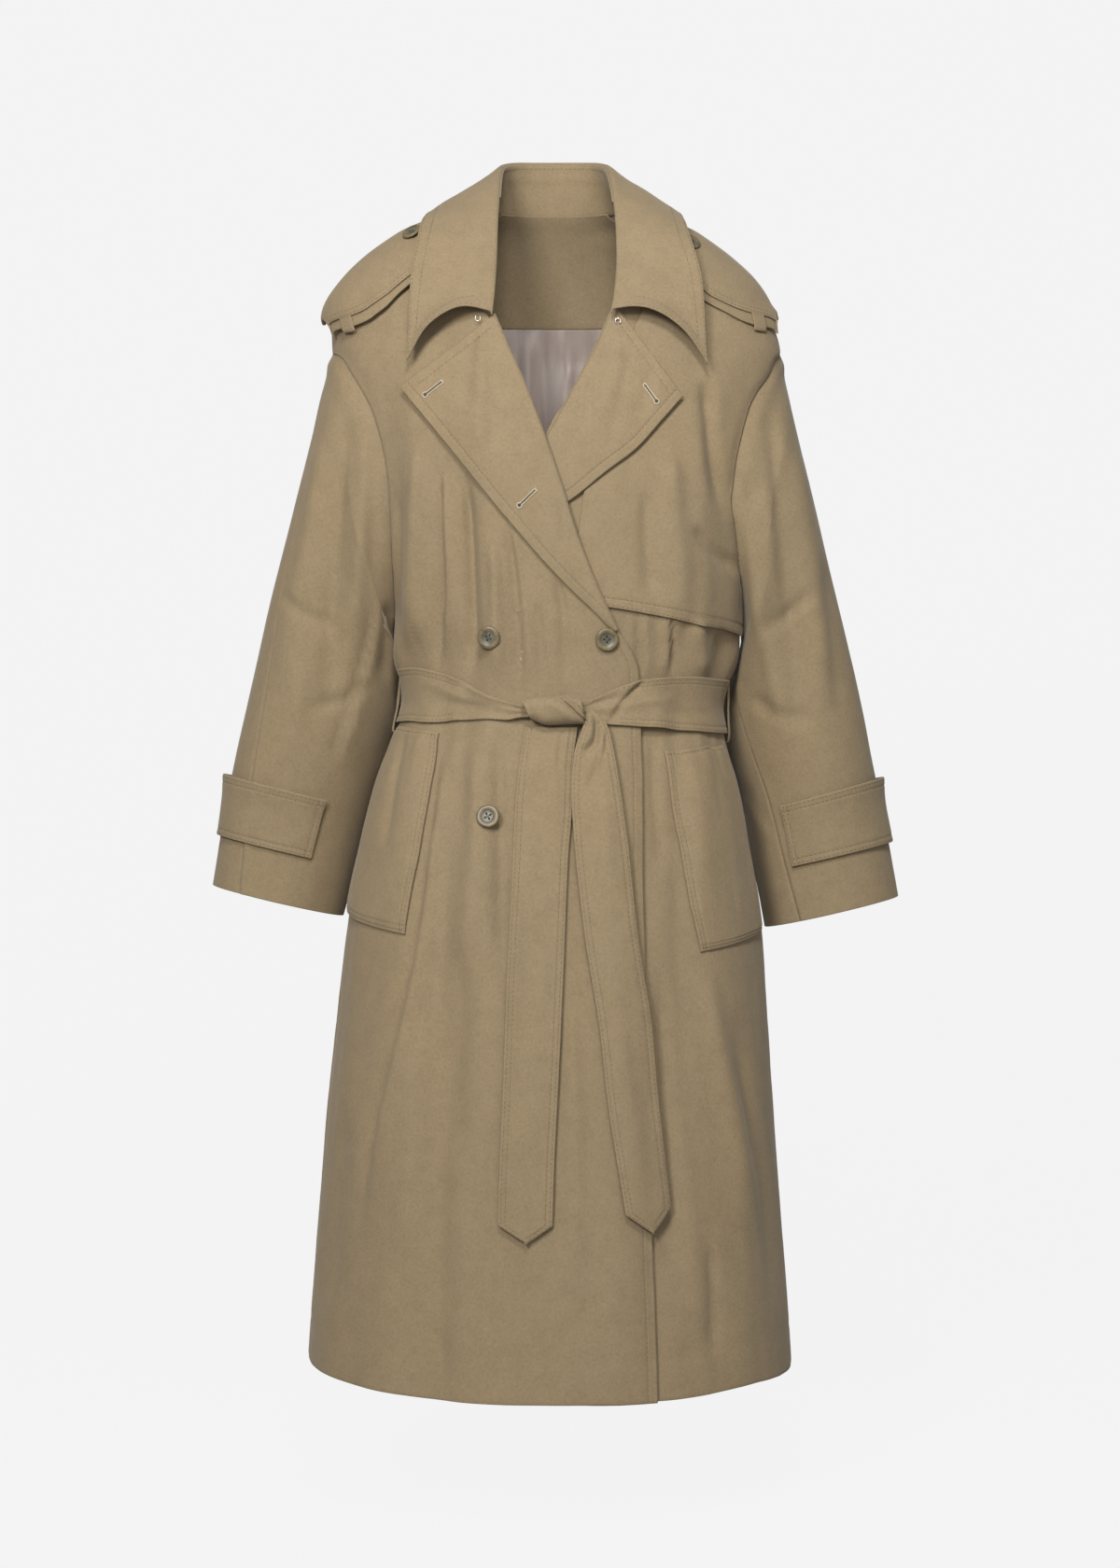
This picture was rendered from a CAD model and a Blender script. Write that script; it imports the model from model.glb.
"""Looks of the trench coat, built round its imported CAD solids.

Metres, +Z up, the front looks along -Y, the wearer's left is at +X, and the origin is the middle of the back neck seam.
The driving sizes and tables are those of the CAD source; the cloth here is cut finer and carries its creases, rolled edges,
topstitching, buttonholes and buttons. One body, "root": the coat has no joints.
"""
import math

import bpy
import numpy as np
from mathutils import Matrix, Vector


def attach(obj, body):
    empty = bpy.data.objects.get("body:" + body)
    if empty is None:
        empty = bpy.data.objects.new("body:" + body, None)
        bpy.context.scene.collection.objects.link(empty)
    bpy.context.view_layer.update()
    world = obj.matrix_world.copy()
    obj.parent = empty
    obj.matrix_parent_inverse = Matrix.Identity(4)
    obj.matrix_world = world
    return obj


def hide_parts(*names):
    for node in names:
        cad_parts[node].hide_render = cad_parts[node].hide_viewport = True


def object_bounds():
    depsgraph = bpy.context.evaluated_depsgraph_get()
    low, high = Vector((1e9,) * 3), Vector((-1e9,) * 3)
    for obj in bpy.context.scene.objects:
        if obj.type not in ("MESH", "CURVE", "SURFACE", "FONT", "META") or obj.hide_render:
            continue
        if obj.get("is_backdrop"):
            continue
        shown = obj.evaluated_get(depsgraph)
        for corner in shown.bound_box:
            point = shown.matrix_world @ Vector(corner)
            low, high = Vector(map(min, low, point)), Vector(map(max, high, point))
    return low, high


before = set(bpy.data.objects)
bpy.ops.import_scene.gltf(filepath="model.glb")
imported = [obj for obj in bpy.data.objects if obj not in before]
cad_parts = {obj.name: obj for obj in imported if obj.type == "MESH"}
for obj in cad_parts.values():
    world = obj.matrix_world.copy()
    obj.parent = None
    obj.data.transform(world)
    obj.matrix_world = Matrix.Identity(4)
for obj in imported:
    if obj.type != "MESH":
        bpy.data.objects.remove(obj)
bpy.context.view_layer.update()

# ---------------------------------------------------------------- driving sizes (metres)
CLOTH = 0.0016          # one ply of the coat cloth with its backing
DOUBLE = 0.0022         # two plies sewn together: belt, straps, flaps
LINING = 0.0012         # the lining with its seams
GAP = 0.0003            # between pieces that meet at a seam
HEM_FRONT = -1.1855     # level of the hem at the middle of the front and back
HEM_SIDE_RIGHT = -1.168 # level of the hem at the wearer's right side seam, where it rises
HEM_SIDE_LEFT = -1.177  # and at the left one
WAIST = -0.502          # level of the middle of the belt
ARMPIT = -0.420         # lowest point of the armholes
SHOULDER_TIP = -0.150   # highest point of the sleeve head
NECK_TOP = 0.002        # level of the back neck seam
FACING_EDGE = -0.108    # lower edge of the facing inside the back neck
BUTTON_D = 0.0229
BUTTON_T = 0.0036

# The front elevation is drafted in perspective on a sheet at y = 0, with 1050 sheet units to the metre.
SHEET = 1050.0
EYE = 3.3               # distance of the drafting eye in front of the sheet
EYE_X, EYE_Z = 0.0038, -0.588
SHEET_U, SHEET_W = 600.0, 840.0   # foot of the eye on the sheet: u to the right, w downwards

# ---------------------------------------------------------------- body sections
# level, centre_x, half_width, front_depth, back_depth, squareness
SECTIONS = [
    (-1.200, -0.0070, 0.2470, 0.1860, 0.1900, 2.25),
    (-1.100, -0.0068, 0.2408, 0.1810, 0.1850, 2.25),
    (-0.950, -0.0068, 0.2290, 0.1710, 0.1760, 2.25),
    (-0.831, -0.0045, 0.2192, 0.1630, 0.1680, 2.25),
    (-0.722, -0.0020, 0.2098, 0.1540, 0.1580, 2.25),
    (-0.656, -0.0010, 0.1985, 0.1460, 0.1490, 2.25),
    (-0.590, 0.0008, 0.1845, 0.1350, 0.1360, 2.25),
    (-0.545, 0.0025, 0.1700, 0.1240, 0.1220, 2.25),
    (-0.502, 0.0068, 0.1600, 0.1150, 0.1090, 2.25),
    (-0.466, 0.0095, 0.1625, 0.1180, 0.1120, 2.25),
    (-0.420, 0.0110, 0.1740, 0.1230, 0.1180, 2.30),
    (-0.340, 0.0075, 0.1880, 0.1250, 0.1240, 2.35),
    (-0.256, 0.0045, 0.2050, 0.1220, 0.1260, 2.35),
    (-0.200, 0.0025, 0.2180, 0.1160, 0.1240, 2.30),
    (-0.150, 0.0005, 0.2280, 0.1060, 0.1190, 2.20),
    (-0.126, -0.0030, 0.2255, 0.0995, 0.1150, 2.15),
    (-0.104, -0.0085, 0.2175, 0.0930, 0.1105, 2.10),
    (-0.084, -0.0080, 0.2050, 0.0860, 0.1060, 2.05),
    (-0.061, -0.0085, 0.1820, 0.0770, 0.0990, 2.00),
    (-0.0275, -0.0085, 0.1335, 0.0600, 0.0850, 2.00),
    (-0.012, -0.0045, 0.1080, 0.0520, 0.0760, 2.05),
    (-0.003, -0.0030, 0.0840, 0.0470, 0.0700, 2.10),
    (0.004, -0.0025, 0.0720, 0.0440, 0.0660, 2.10),
]

# Large folds, as soft ridges (height above 0) and troughs (below 0) on the body surface, in millimetres.
# side, x_top, level_top, x_bottom, level_bottom, width, height
FOLDS = [
    ("front", -140, -160, -142, -470, 16, 4.0),
    ("front", -112, -300, -110, -1150, 12, -3.5),
    ("front", -84, -250, -84, -700, 13, -4.5),
    ("front", -62, -330, -58, -1100, 16, 3.0),
    ("front", -38, -320, -36, -660, 12, -3.0),
    ("front", -128, -520, -172, -1180, 20, 4.0),
    ("front", -78, -540, -98, -1180, 22, 3.5),
    ("front", -10, -530, -18, -1180, 20, -3.0),
    ("front", 55, -540, 62, -1180, 22, 3.0),
    ("front", 84, -440, 96, -1180, 12, -3.5),
    ("front", 112, -430, 130, -1100, 12, -3.0),
    ("front", 142, -180, 140, -700, 14, 3.5),
    ("front", 150, -540, 190, -1180, 20, 3.5),
    ("back", -150, -200, -185, -1180, 20, 3.5),
    ("back", -105, -260, -125, -1180, 16, -4.0),
    ("back", -60, -380, -70, -1180, 18, 3.5),
    ("back", -22, -300, -25, -1150, 14, -3.0),
    ("back", 20, -420, 25, -1180, 18, 3.0),
    ("back", 62, -250, 72, -1180, 15, -3.5),
    ("back", 108, -360, 130, -1180, 18, 3.5),
    ("back", 152, -220, 188, -1180, 18, -3.0),
]

# Levels of the rows of points of the back and the fronts. Those between ARMPIT and SHOULDER_TIP end at the armholes.
ROWS = [-1.180, -1.040, -0.900, -0.780, -0.690, -0.620, -0.565, -0.532, WAIST, -0.472, -0.446,
        ARMPIT, -0.385, -0.345, -0.305, -0.265, -0.230, -0.200, -0.172,
        SHOULDER_TIP, -0.128, -0.104, -0.080, -0.055, -0.030, -0.014]
PIT_ROW, TIP_ROW = ROWS.index(ARMPIT), ROWS.index(SHOULDER_TIP)

# ---------------------------------------------------------------- seams on the drafting sheet: (u, w)
# Armhole seams from the shoulder tip down to the armpit.
ARMHOLE_RIGHT = [(373, 395), (388, 420), (401, 448), (410, 481), (415, 512), (418, 560), (420, 610), (423, 650)]
ARMHOLE_LEFT = [(824, 399), (809, 421), (801, 439), (794, 466), (788, 495), (784, 530), (787, 575), (792, 618), (796, 652)]
# Front edge of the wearer's right front: neck, fold line of the lapel, then the free edge down to the hem.
EDGE_RIGHT = [(500, 232), (490, 258), (494, 290), (508, 318), (532, 340), (545, 369), (562, 407), (583, 462), (608, 537), (620, 580),
              (633, 609), (651, 650), (662, 674), (672, 692), (683, 715), (686, 775), (688, 869), (689, 981),
              (694, 1180), (698, 1327), (702, 1434), (704, 1515)]
# Front edge of the wearer's left front, which runs on under the right one.
EDGE_LEFT = [(694, 234), (704, 260), (698, 290), (675, 312), (653, 336), (642, 362), (622, 400), (601, 438), (583, 470), (563, 508),
             (548, 545), (543, 580), (541, 640), (541, 715), (541, 900), (541, 1180), (541, 1515)]

# Lapels, from the notch down: fold_u, fold_w, outer_u, outer_w, lift (mm above the panel at the outer edge)
LAPEL_RIGHT = [
    (531, 336, 429, 415, 9.0),
    (546, 371, 455, 446, 8.5),
    (562, 407, 485, 483, 8.0),
    (583, 462, 518, 524, 7.0),
    (603, 520, 553, 566, 6.0),
    (616, 563, 586, 604, 5.0),
    (631, 604, 615, 634, 4.2),
    (648, 643, 639, 657, 3.6),
    (657, 662, 651, 670, 3.2),
]
LAPEL_LEFT = [
    (657, 325, 731, 424, 11.0),
    (642, 362, 708, 450, 10.5),
    (622, 400, 682, 479, 9.5),
    (602, 438, 648, 505, 8.5),
    (584, 470, 612, 534, 5.6),
    (570, 498, 588, 548, 4.2),
]

# Storm flap on the wearer's left: its inner edge from the shoulder down, its lower edge, and the level of its top
GUN_FLAP_EDGE = [(706, 300), (684, 344), (664, 388), (650, 430), (638, 474), (628, 517), (622, 560), (616, 600), (611, 652)]
GUN_FLAP_HEM = [(611, 645), (652, 650), (700, 658), (751, 669), (787, 680)]
GUN_FLAP_TOP = -0.070

# Collar stations from the front of the wing to the middle of the back. The roll line and the outer edge are given
# by sheet place and depth y (mm), the belly of the fall by its sheet shift and its lift (mm).
# roll_u, roll_w, roll_y, edge_u, edge_w, edge_y, shift_u, shift_w, lift
COLLAR_RIGHT = [
    (523, 331, -113, 437, 384, -109, -4, -32, 14),
    (526, 303, -100, 438, 345, -101, -2, -14, 13),
    (528, 272, -80, 440, 302, -88, 0, -4, 13),
    (529, 240, -63, 446, 263, -71, 0, 4, 12),
    (531, 208, -36, 454, 234, -36, 0, 6, 11),
    (533, 186, -4, 461, 228, 2, 0, 2, 10),
    (537, 176, 26, 477, 248, 50, 2, -4, 9),
    (551, 174, 52, 519, 270, 88, 2, -14, 8),
    (573, 174, 64, 557, 275, 101, 0, -14, 7),
]
COLLAR_LEFT = [
    (659, 329, -113, 757, 389, -111, 4, -32, 14),
    (663, 303, -100, 755, 345, -103, 2, -14, 13),
    (665, 272, -80, 752, 302, -90, 0, -4, 13),
    (664, 240, -63, 742, 261, -73, 0, 4, 12),
    (661, 208, -36, 734, 235, -38, 0, 6, 11),
    (657, 186, -4, 728, 229, 0, 0, 2, 10),
    (651, 176, 26, 711, 248, 50, -2, -4, 9),
    (637, 174, 52, 669, 270, 88, -2, -14, 8),
    (615, 174, 64, 631, 275, 101, 0, -14, 7),
]
COLLAR_BACK = (594, 174, 67, 594, 277, 105, 0, -14, 7)
STAND_HEIGHT = 0.0360    # from the neck seam to the seam of the fall, at the middle of the back
ROLL_RADIUS = 0.0042     # of the collar's roll

# Sleeve rings below the armhole: outer_u, outer_w, inner_u, inner_w, outer_y, inner_y, half_depth (mm). The inner side
# of the sleeve hangs further back, beside the back of the coat.
SLEEVE_RIGHT = [
    (345, 428, 422, 687, 7, 11, 78),
    (332, 481, 430, 703, 11, 24, 80),
    (319, 532, 434, 718, 14, 40, 82),
    (304, 590, 435, 736, 17, 53, 83),
    (288, 652, 433, 762, 22, 61, 84),
    (270, 733, 422, 800, 28, 62, 82),
    (252, 813, 403, 853, 33, 58, 75),
    (238, 885, 384, 920, 37, 52, 66),
    (228, 947, 368, 980, 40, 48, 62),
]
SLEEVE_LEFT = [
    (846, 430, 796, 687, 7, 8, 78),
    (858, 483, 793, 703, 11, 14, 79),
    (870, 534, 788, 718, 14, 26, 80),
    (883, 592, 781, 738, 17, 43, 82),
    (898, 655, 775, 764, 22, 59, 85),
    (917, 735, 780, 802, 28, 62, 83),
    (934, 815, 795, 857, 33, 58, 75),
    (950, 892, 807, 926, 37, 52, 66),
    (962, 959, 819, 992, 40, 48, 62),
]
SWING = 0.018            # how far the sleeves hang in behind the body
# Where the two lengthwise seams of a sleeve lie at its hem, in degrees round from the outer side by the front.
SEAMS_RIGHT = (58.0, 215.0)
SEAMS_LEFT = (-35.0, 122.0)
STRAP_ENDS_RIGHT = (-118.0, 112.0)
STRAP_ENDS_LEFT = (-118.0, 118.0)

# Epaulettes in plan, from the collar out to the shoulder tip (mm): x_back, y_back, x_front, y_front
EPAULETTE = [
    (112, 8, 104, -62),
    (136, 8, 128, -65),
    (160, 8, 152, -66),
    (183, 7, 176, -61),
    (202, 5, 197, -50),
    (215, 3, 210, -38),
    (223, 1, 218, -28),
]
EPAULETTE_OUT = 0.0104   # outer face of the strap above the shoulder
TURNBACK_OUT = 0.0056    # outer face of the part folded under

# Belt band: u, top_w, bottom_w on the front, from the knot to each side.
BELT_RIGHT = [(582, 757, 767), (560, 757, 767), (546, 752, 770), (530, 747, 769), (493, 730, 770), (464, 720, 773), (443, 716, 771)]
BELT_LEFT = [(606, 756, 768), (624, 755, 769), (638, 749, 773), (654, 741, 775), (682, 731, 777), (712, 727, 779), (745, 726, 782), (766, 728, 784)]
BELT_OUT = 0.0048
# Belt ends: left_u, left_w, right_u, right_w, out (mm above the panel)
TAIL_A = [(563, 779, 618, 779, 7.0), (557, 815, 614, 815, 8.0), (552, 870, 612, 870, 8.5), (550, 920, 608, 920, 8.5),
          (544, 1040, 603, 1040, 8.5), (540, 1150, 598, 1150, 8.5), (536, 1250, 593, 1250, 8.5), (534, 1313, 591, 1314, 8.5)]
TAIL_A_TIP = (564, 1333)
TAIL_B = [(629, 760, 639, 762, 15.0), (628, 769, 646, 769, 15.5), (625, 779, 651, 778, 15.0), (616, 808, 658, 806, 13.0), (613, 850, 665, 848, 13.0), (616, 900, 672, 896, 12.0),
          (627, 1000, 683, 996, 11.0), (643, 1100, 698, 1096, 10.0), (652, 1180, 706, 1176, 10.0), (672, 1302, 721, 1294, 10.0)]
TAIL_B_TIP = (701, 1322)
KNOT = (594, 761)        # middle of the knot on the sheet
KNOT_WIDTH, KNOT_HEIGHT, KNOT_DEPTH = 0.050, 0.029, 0.026

# Buttons on the fronts: u, w
FRONT_BUTTONS = [(524, 683), (650, 685), (523, 875), (650, 875)]

# Welts of the slanted pockets: inner edge (u, w) from the top down, side edge as degrees off the side seam, and levels
WELT_RIGHT = [(470, 786), (464, 828), (456, 870), (449, 912), (441, 952), (433, 1000)]
WELT_LEFT = [(712, 806), (719, 858), (728, 911), (737, 962), (750, 1019)]
WELT_OUT = 0.0050


# ---------------------------------------------------------------- curves through tables
class Track:
    """A smooth curve through the rows of a table, by their first column, that never overshoots."""

    def __init__(self, rows):
        rows = sorted(rows)
        self.t = np.array([r[0] for r in rows], float)
        self.v = np.array([r[1:] for r in rows], float)
        step = np.diff(self.t)[:, None]
        slope = np.diff(self.v, axis=0) / step
        m = np.zeros_like(self.v)
        m[0], m[-1] = slope[0], slope[-1]
        for k in range(1, len(rows) - 1):
            a, b = slope[k - 1], slope[k]
            ok = a * b > 0
            h0, h1 = step[k - 1, 0], step[k, 0]
            w0, w1 = 2 * h1 + h0, h1 + 2 * h0
            m[k] = np.where(ok, (w0 + w1) / (w0 / np.where(ok, a, 1) + w1 / np.where(ok, b, 1)), 0)
        self.m = m

    def __call__(self, t):
        t = np.clip(np.asarray(t, float), self.t[0], self.t[-1])
        k = np.clip(np.searchsorted(self.t, t, side="right") - 1, 0, len(self.t) - 2)
        h = self.t[k + 1] - self.t[k]
        s = ((t - self.t[k]) / h)[..., None]
        h = h[..., None]
        return ((2 * s**3 - 3 * s**2 + 1) * self.v[k] + (s**3 - 2 * s**2 + s) * h * self.m[k]
                + (3 * s**2 - 2 * s**3) * self.v[k + 1] + (s**3 - s**2) * h * self.m[k + 1])


def along(points):
    """A smooth curve through points, as a Track by the share of its length."""
    p = np.array(points, float)
    run = np.concatenate([[0], np.cumsum(np.linalg.norm(np.diff(p, axis=0), axis=1))])
    return Track([(r / run[-1], *q) for r, q in zip(run, p)])


def smooth(a, b, x):
    """0 below a, 1 above b, and a soft step between."""
    t = np.clip((np.asarray(x, float) - a) / (b - a), 0, 1)
    return t * t * (3 - 2 * t)


# ---------------------------------------------------------------- the body surface
BODY = Track(SECTIONS)
FOLD_TABLE = [(f[0], *(v / 1000 for v in f[1:])) for f in FOLDS]


def fold(x, z, front):
    """Height of the large folds at a place on the front or the back. The belt presses them flatter."""
    total = np.zeros(np.broadcast(x, z).shape)
    for side, x0, z0, x1, z1, width, height in FOLD_TABLE:
        t = (z0 - z) / (z0 - z1)
        centre = x0 + (x1 - x0) * np.clip(t, 0, 1)
        fade = smooth(0, 0.18, t) * (1 - smooth(0.88, 1.15, t))
        wave = height * fade * np.exp(-(((x - centre) / width) ** 2))
        total = total + np.where(front == (side == "front"), wave, 0)
    return total * (1 - 0.6 * np.exp(-(((z - WAIST) / 0.035) ** 2)))


def inside(x, y, z):
    cx, a, bf, bb, n = np.moveaxis(BODY(z), -1, 0)
    b = np.where(y < 0, bf, bb)
    return (np.abs(x - cx) / a) ** n + (np.abs(y) / b) ** n - 1


def outward(x, y, z):
    """Unit normal of the smooth body surface."""
    h = 0.0005
    g = np.stack([inside(x + h, y, z) - inside(x - h, y, z),
                  inside(x, y + h, z) - inside(x, y - h, z),
                  inside(x, y, z + h) - inside(x, y, z - h)], -1)
    return g / np.linalg.norm(g, axis=-1, keepdims=True)


def skin(angle, z, out=0.0, folded=1.0):
    """Point of the body surface at an angle round (0 at +X, negative by the front) and a level, moved out."""
    angle, z = np.broadcast_arrays(np.asarray(angle, float), np.asarray(z, float))
    cx, a, bf, bb, n = np.moveaxis(BODY(z), -1, 0)
    c, s = np.cos(angle), np.sin(angle)
    x = cx + a * np.sign(c) * np.abs(c) ** (2 / n)
    y = np.where(s < 0, bf, bb) * np.sign(s) * np.abs(s) ** (2 / n)
    reach = out(x, z) if callable(out) else out
    move = folded * fold(x, z, s < 0) * smooth(0.05, 0.35, np.abs(s)) + reach
    return np.stack([x, y, z], -1) + outward(x, y, z) * np.asarray(move)[..., None]


def front_angle(x, z):
    cx, a, _, _, n = np.moveaxis(BODY(z), -1, 0)
    c = np.clip((x - cx) / a, -0.9995, 0.9995)
    return -np.arccos(np.sign(c) * np.abs(c) ** (n / 2))


def place(u, w, y):
    """The point at a depth y that is drafted at u, w on the sheet."""
    u, w, y = np.broadcast_arrays(np.asarray(u, float), np.asarray(w, float), np.asarray(y, float))
    k = (EYE + y) / EYE / SHEET
    return np.stack([EYE_X + (u - SHEET_U) * k, y, EYE_Z + (SHEET_W - w) * k], -1)


def on_front(u, w, out=0.0):
    """Angle and level of the front point drafted at u, w, with its point moved out."""
    goal = place(u, w, -0.12)
    x, z = goal[..., 0].copy(), goal[..., 2].copy()
    for _ in range(14):
        at = front_angle(x, z)
        p = skin(at, z, out)
        goal = place(u, w, p[..., 1])
        x = x + 0.8 * (goal[..., 0] - p[..., 0])
        z = z + 0.8 * (goal[..., 2] - p[..., 2])
    return at, z, p


def on_top(reach, y, out=0.0):
    """Point of the shoulders above a place in plan, moved out. reach is from the middle of the section there."""
    reach, y = np.broadcast_arrays(np.asarray(reach, float), np.asarray(y, float))
    low, high = np.full(reach.shape, -0.20), np.full(reach.shape, 0.004)
    for _ in range(40):
        mid = (low + high) / 2
        under = inside(reach + BODY(mid)[..., 0], y, mid) < 0
        low, high = np.where(under, mid, low), np.where(under, high, mid)
    x = reach + BODY(low)[..., 0]
    return np.stack([x, y, low], -1) + outward(x, y, low) * out


def overlap(x, z):
    """How far the wearer's right front stands off, where it lies on the left front and its lapel."""
    return smooth(-0.120, -0.065, x) * (0.0066 + 0.0036 * np.exp(-(((z + 0.300) / 0.090) ** 2)))


def over_fronts(x, z):
    """The same for what lies on both fronts: it comes down to the left front past the free edge."""
    return overlap(x, z) * (1 - smooth(0.090, 0.130, x))


def edge_track(points, out):
    at, z, _ = on_front(*np.array(points, float).T, out)
    return Track(list(zip(z, at)))


def hem(angle, level):
    """A row of the body, brought to the hem line at the bottom."""
    side = np.where(np.cos(angle) < 0, HEM_SIDE_RIGHT, HEM_SIDE_LEFT)
    turn = np.abs(np.sin(angle))
    drop = side + (HEM_FRONT - side) * np.where(np.cos(angle) < 0, turn ** 1.6, smooth(0.55, 1.0, turn)) - ROWS[0]
    return level + drop * (1 - smooth(ROWS[0], -0.95, level))


# ---------------------------------------------------------------- creases, as they lie on the drafting sheet
# kind, width, height (mm), (u, w) of the line from its top to its foot. "soft" is a ridge (height above 0) or a trough;
# "step" is the edge of a pleat, standing up on its right (height above 0) or on its left.
CREASES = [
    # wearer's right front, above the belt
    ("step", 13, 2.4, [(474, 500), (476, 560), (478, 621), (475, 672), (470, 722)]),
    ("soft", 7, -3.0, [(499, 500), (504, 560), (507, 621), (509, 680), (511, 735)]),
    ("step", 9, 1.5, [(546, 552), (553, 600), (558, 648), (561, 700), (563, 748)]),
    ("soft", 12, 2.2, [(450, 470), (447, 560), (444, 640), (442, 705)]),
    ("soft", 8, 2.0, [(530, 570), (533, 640), (536, 735)]),
    ("soft", 6, -1.6, [(592, 612), (598, 628), (604, 660), (606, 735)]),
    ("soft", 5, -1.2, [(575, 640), (580, 690), (583, 742)]),
    ("soft", 8, -1.6, [(428, 520), (430, 600), (432, 700)]),
    # wearer's right front, below the belt
    ("step", 18, 2.6, [(473, 776), (468, 849), (461, 915), (448, 1017), (424, 1131), (403, 1224), (388, 1340)]),
    ("soft", 12, 2.4, [(508, 778), (510, 860), (506, 960), (500, 1060)]),
    ("soft", 9, -3.0, [(533, 775), (536, 850), (538, 960), (540, 1060)]),
    ("soft", 13, -1.8, [(498, 1010), (494, 1110), (488, 1260)]),
    ("soft", 16, 1.8, [(455, 1090), (446, 1200), (436, 1380)]),
    ("soft", 10, -1.4, [(520, 1240), (524, 1340), (526, 1450)]),
    ("soft", 12, -1.5, [(370, 1180), (362, 1290), (352, 1420)]),
    ("soft", 5, -1.4, [(440, 776), (428, 830), (415, 920)]),
    ("soft", 11, 1.5, [(610, 1060), (615, 1200), (618, 1400)]),
    ("soft", 5, -0.8, [(470, 1420), (474, 1450), (475, 1490)]),
    ("soft", 5, -0.7, [(556, 1440), (560, 1466), (562, 1496)]),
    # wearer's left front and storm flap
    ("soft", 9, -3.0, [(752, 400), (757, 440), (762, 500), (772, 535), (781, 560)]),
    ("soft", 7, -1.8, [(738, 562), (748, 576), (762, 592), (794, 612)]),
    ("soft", 14, 2.2, [(715, 470), (720, 540), (724, 620), (728, 680)]),
    ("soft", 10, -1.6, [(690, 520), (694, 590), (698, 650)]),
    ("step", 9, 1.6, [(686, 650), (688, 690), (690, 730)]),
    ("step", 8, -1.6, [(716, 655), (718, 690), (716, 728)]),
    ("soft", 8, 2.2, [(745, 660), (748, 690), (752, 728)]),
    ("soft", 6, -1.4, [(772, 670), (770, 700), (766, 730)]),
    ("soft", 10, -2.0, [(708, 1020), (712, 1120), (716, 1240), (720, 1400)]),
    ("soft", 13, 2.2, [(752, 1030), (768, 1120), (788, 1220), (806, 1330)]),
    ("soft", 12, -1.8, [(782, 1080), (800, 1180), (822, 1300), (832, 1420)]),
    ("soft", 8, -1.6, [(700, 780), (704, 860), (712, 950)]),
    ("soft", 7, -1.4, [(760, 1330), (764, 1390), (766, 1460)]),
    ("soft", 14, 1.4, [(728, 1180), (738, 1300), (744, 1460)]),
]
# The same for the back, on a sheet seen from behind, in millimetres: (x, z)
CREASES_BACK = [
    ("soft", 12, -2.6, [(-96, -300), (-92, -390), (-84, -480)]),
    ("soft", 9, 2.0, [(-66, -340), (-62, -420), (-58, -482)]),
    ("step", 12, 2.0, [(-30, -370), (-28, -430), (-24, -484)]),
    ("soft", 8, -2.0, [(12, -390), (14, -440), (16, -482)]),
    ("soft", 10, 2.2, [(52, -330), (48, -420), (44, -480)]),
    ("step", 12, -2.2, [(92, -300), (86, -400), (80, -482)]),
    ("soft", 11, -1.8, [(-120, -160), (-60, -180), (0, -186), (60, -178), (118, -158)]),
    ("step", 16, 2.4, [(-88, -545), (-98, -700), (-120, -900), (-140, -1100)]),
    ("soft", 12, -2.4, [(-40, -545), (-46, -700), (-54, -900)]),
    ("soft", 14, 2.2, [(0, -548), (2, -720), (6, -1000)]),
    ("soft", 12, -2.2, [(44, -545), (52, -700), (60, -930)]),
    ("step", 16, -2.4, [(88, -550), (104, -720), (128, -940), (150, -1120)]),
    ("soft", 14, -1.6, [(20, -960), (24, -1060), (26, -1160)]),
]


def lattice(x, y, seed):
    """Soft bumps between -1 and 1, the same on every run."""
    xi, yi = np.floor(x), np.floor(y)
    fx, fy = x - xi, y - yi
    fx, fy = fx * fx * fx * (fx * (fx * 6 - 15) + 10), fy * fy * fy * (fy * (fy * 6 - 15) + 10)

    def value(a, b):
        v = np.sin(a * 127.1 + b * 311.7 + seed * 74.7) * 43758.5453
        return 2 * (v - np.floor(v)) - 1

    return ((value(xi, yi) * (1 - fx) + value(xi + 1, yi) * fx) * (1 - fy)
            + (value(xi, yi + 1) * (1 - fx) + value(xi + 1, yi + 1) * fx) * fy)


def creased(table, a, b, unit=1.0):
    """Height (m) of the creases of a table at places a, b of its own sheet. unit is sheet units to the millimetre."""
    a, b = np.asarray(a, float), np.asarray(b, float)
    total = np.zeros(a.shape)
    for kind, width, height, line in table:
        width = width * unit * 0.88
        line = np.array(along(line)(np.linspace(0, 1, 4 * len(line))))
        low, high = line.min(0) - 3 * width, line.max(0) + 3 * width
        near = (a > low[0]) & (a < high[0]) & (b > low[1]) & (b < high[1])
        if not near.any():
            continue
        p = np.stack([a[near], b[near]], -1)
        step = np.diff(line, axis=0)
        size = np.linalg.norm(step, axis=1)
        run = np.concatenate([[0], np.cumsum(size)])
        best = np.full(len(p), 1e9)
        side = np.zeros(len(p))
        at = np.zeros(len(p))
        for k in range(len(step)):
            v = p - line[k]
            t = np.clip((v @ step[k]) / size[k] ** 2, 0, 1)
            d = v - t[:, None] * step[k]
            far = np.linalg.norm(d, axis=1)
            cross = (step[k][0] * v[:, 1] - step[k][1] * v[:, 0])
            hit = far < best
            best = np.where(hit, far, best)
            side = np.where(hit, -np.sign(cross), side)
            at = np.where(hit, (run[k] + t * size[k]) / run[-1], at)
        fade = smooth(0, 0.22, at) * (1 - smooth(0.72, 1, at))
        wide = width * (0.75 + 0.5 * at)
        if kind == "soft":
            wave = np.exp(-((best / wide) ** 2))
        else:
            sign = np.tanh(side * best / (1.7 * unit))
            reach = np.where(sign * np.sign(height) > 0, wide * 1.3, wide * 0.7)
            wave = sign * np.exp(-((best / reach) ** 2)) * np.sign(height)
            height = abs(height)
        total[near] += height / 1000 * fade * wave
    return total


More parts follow.
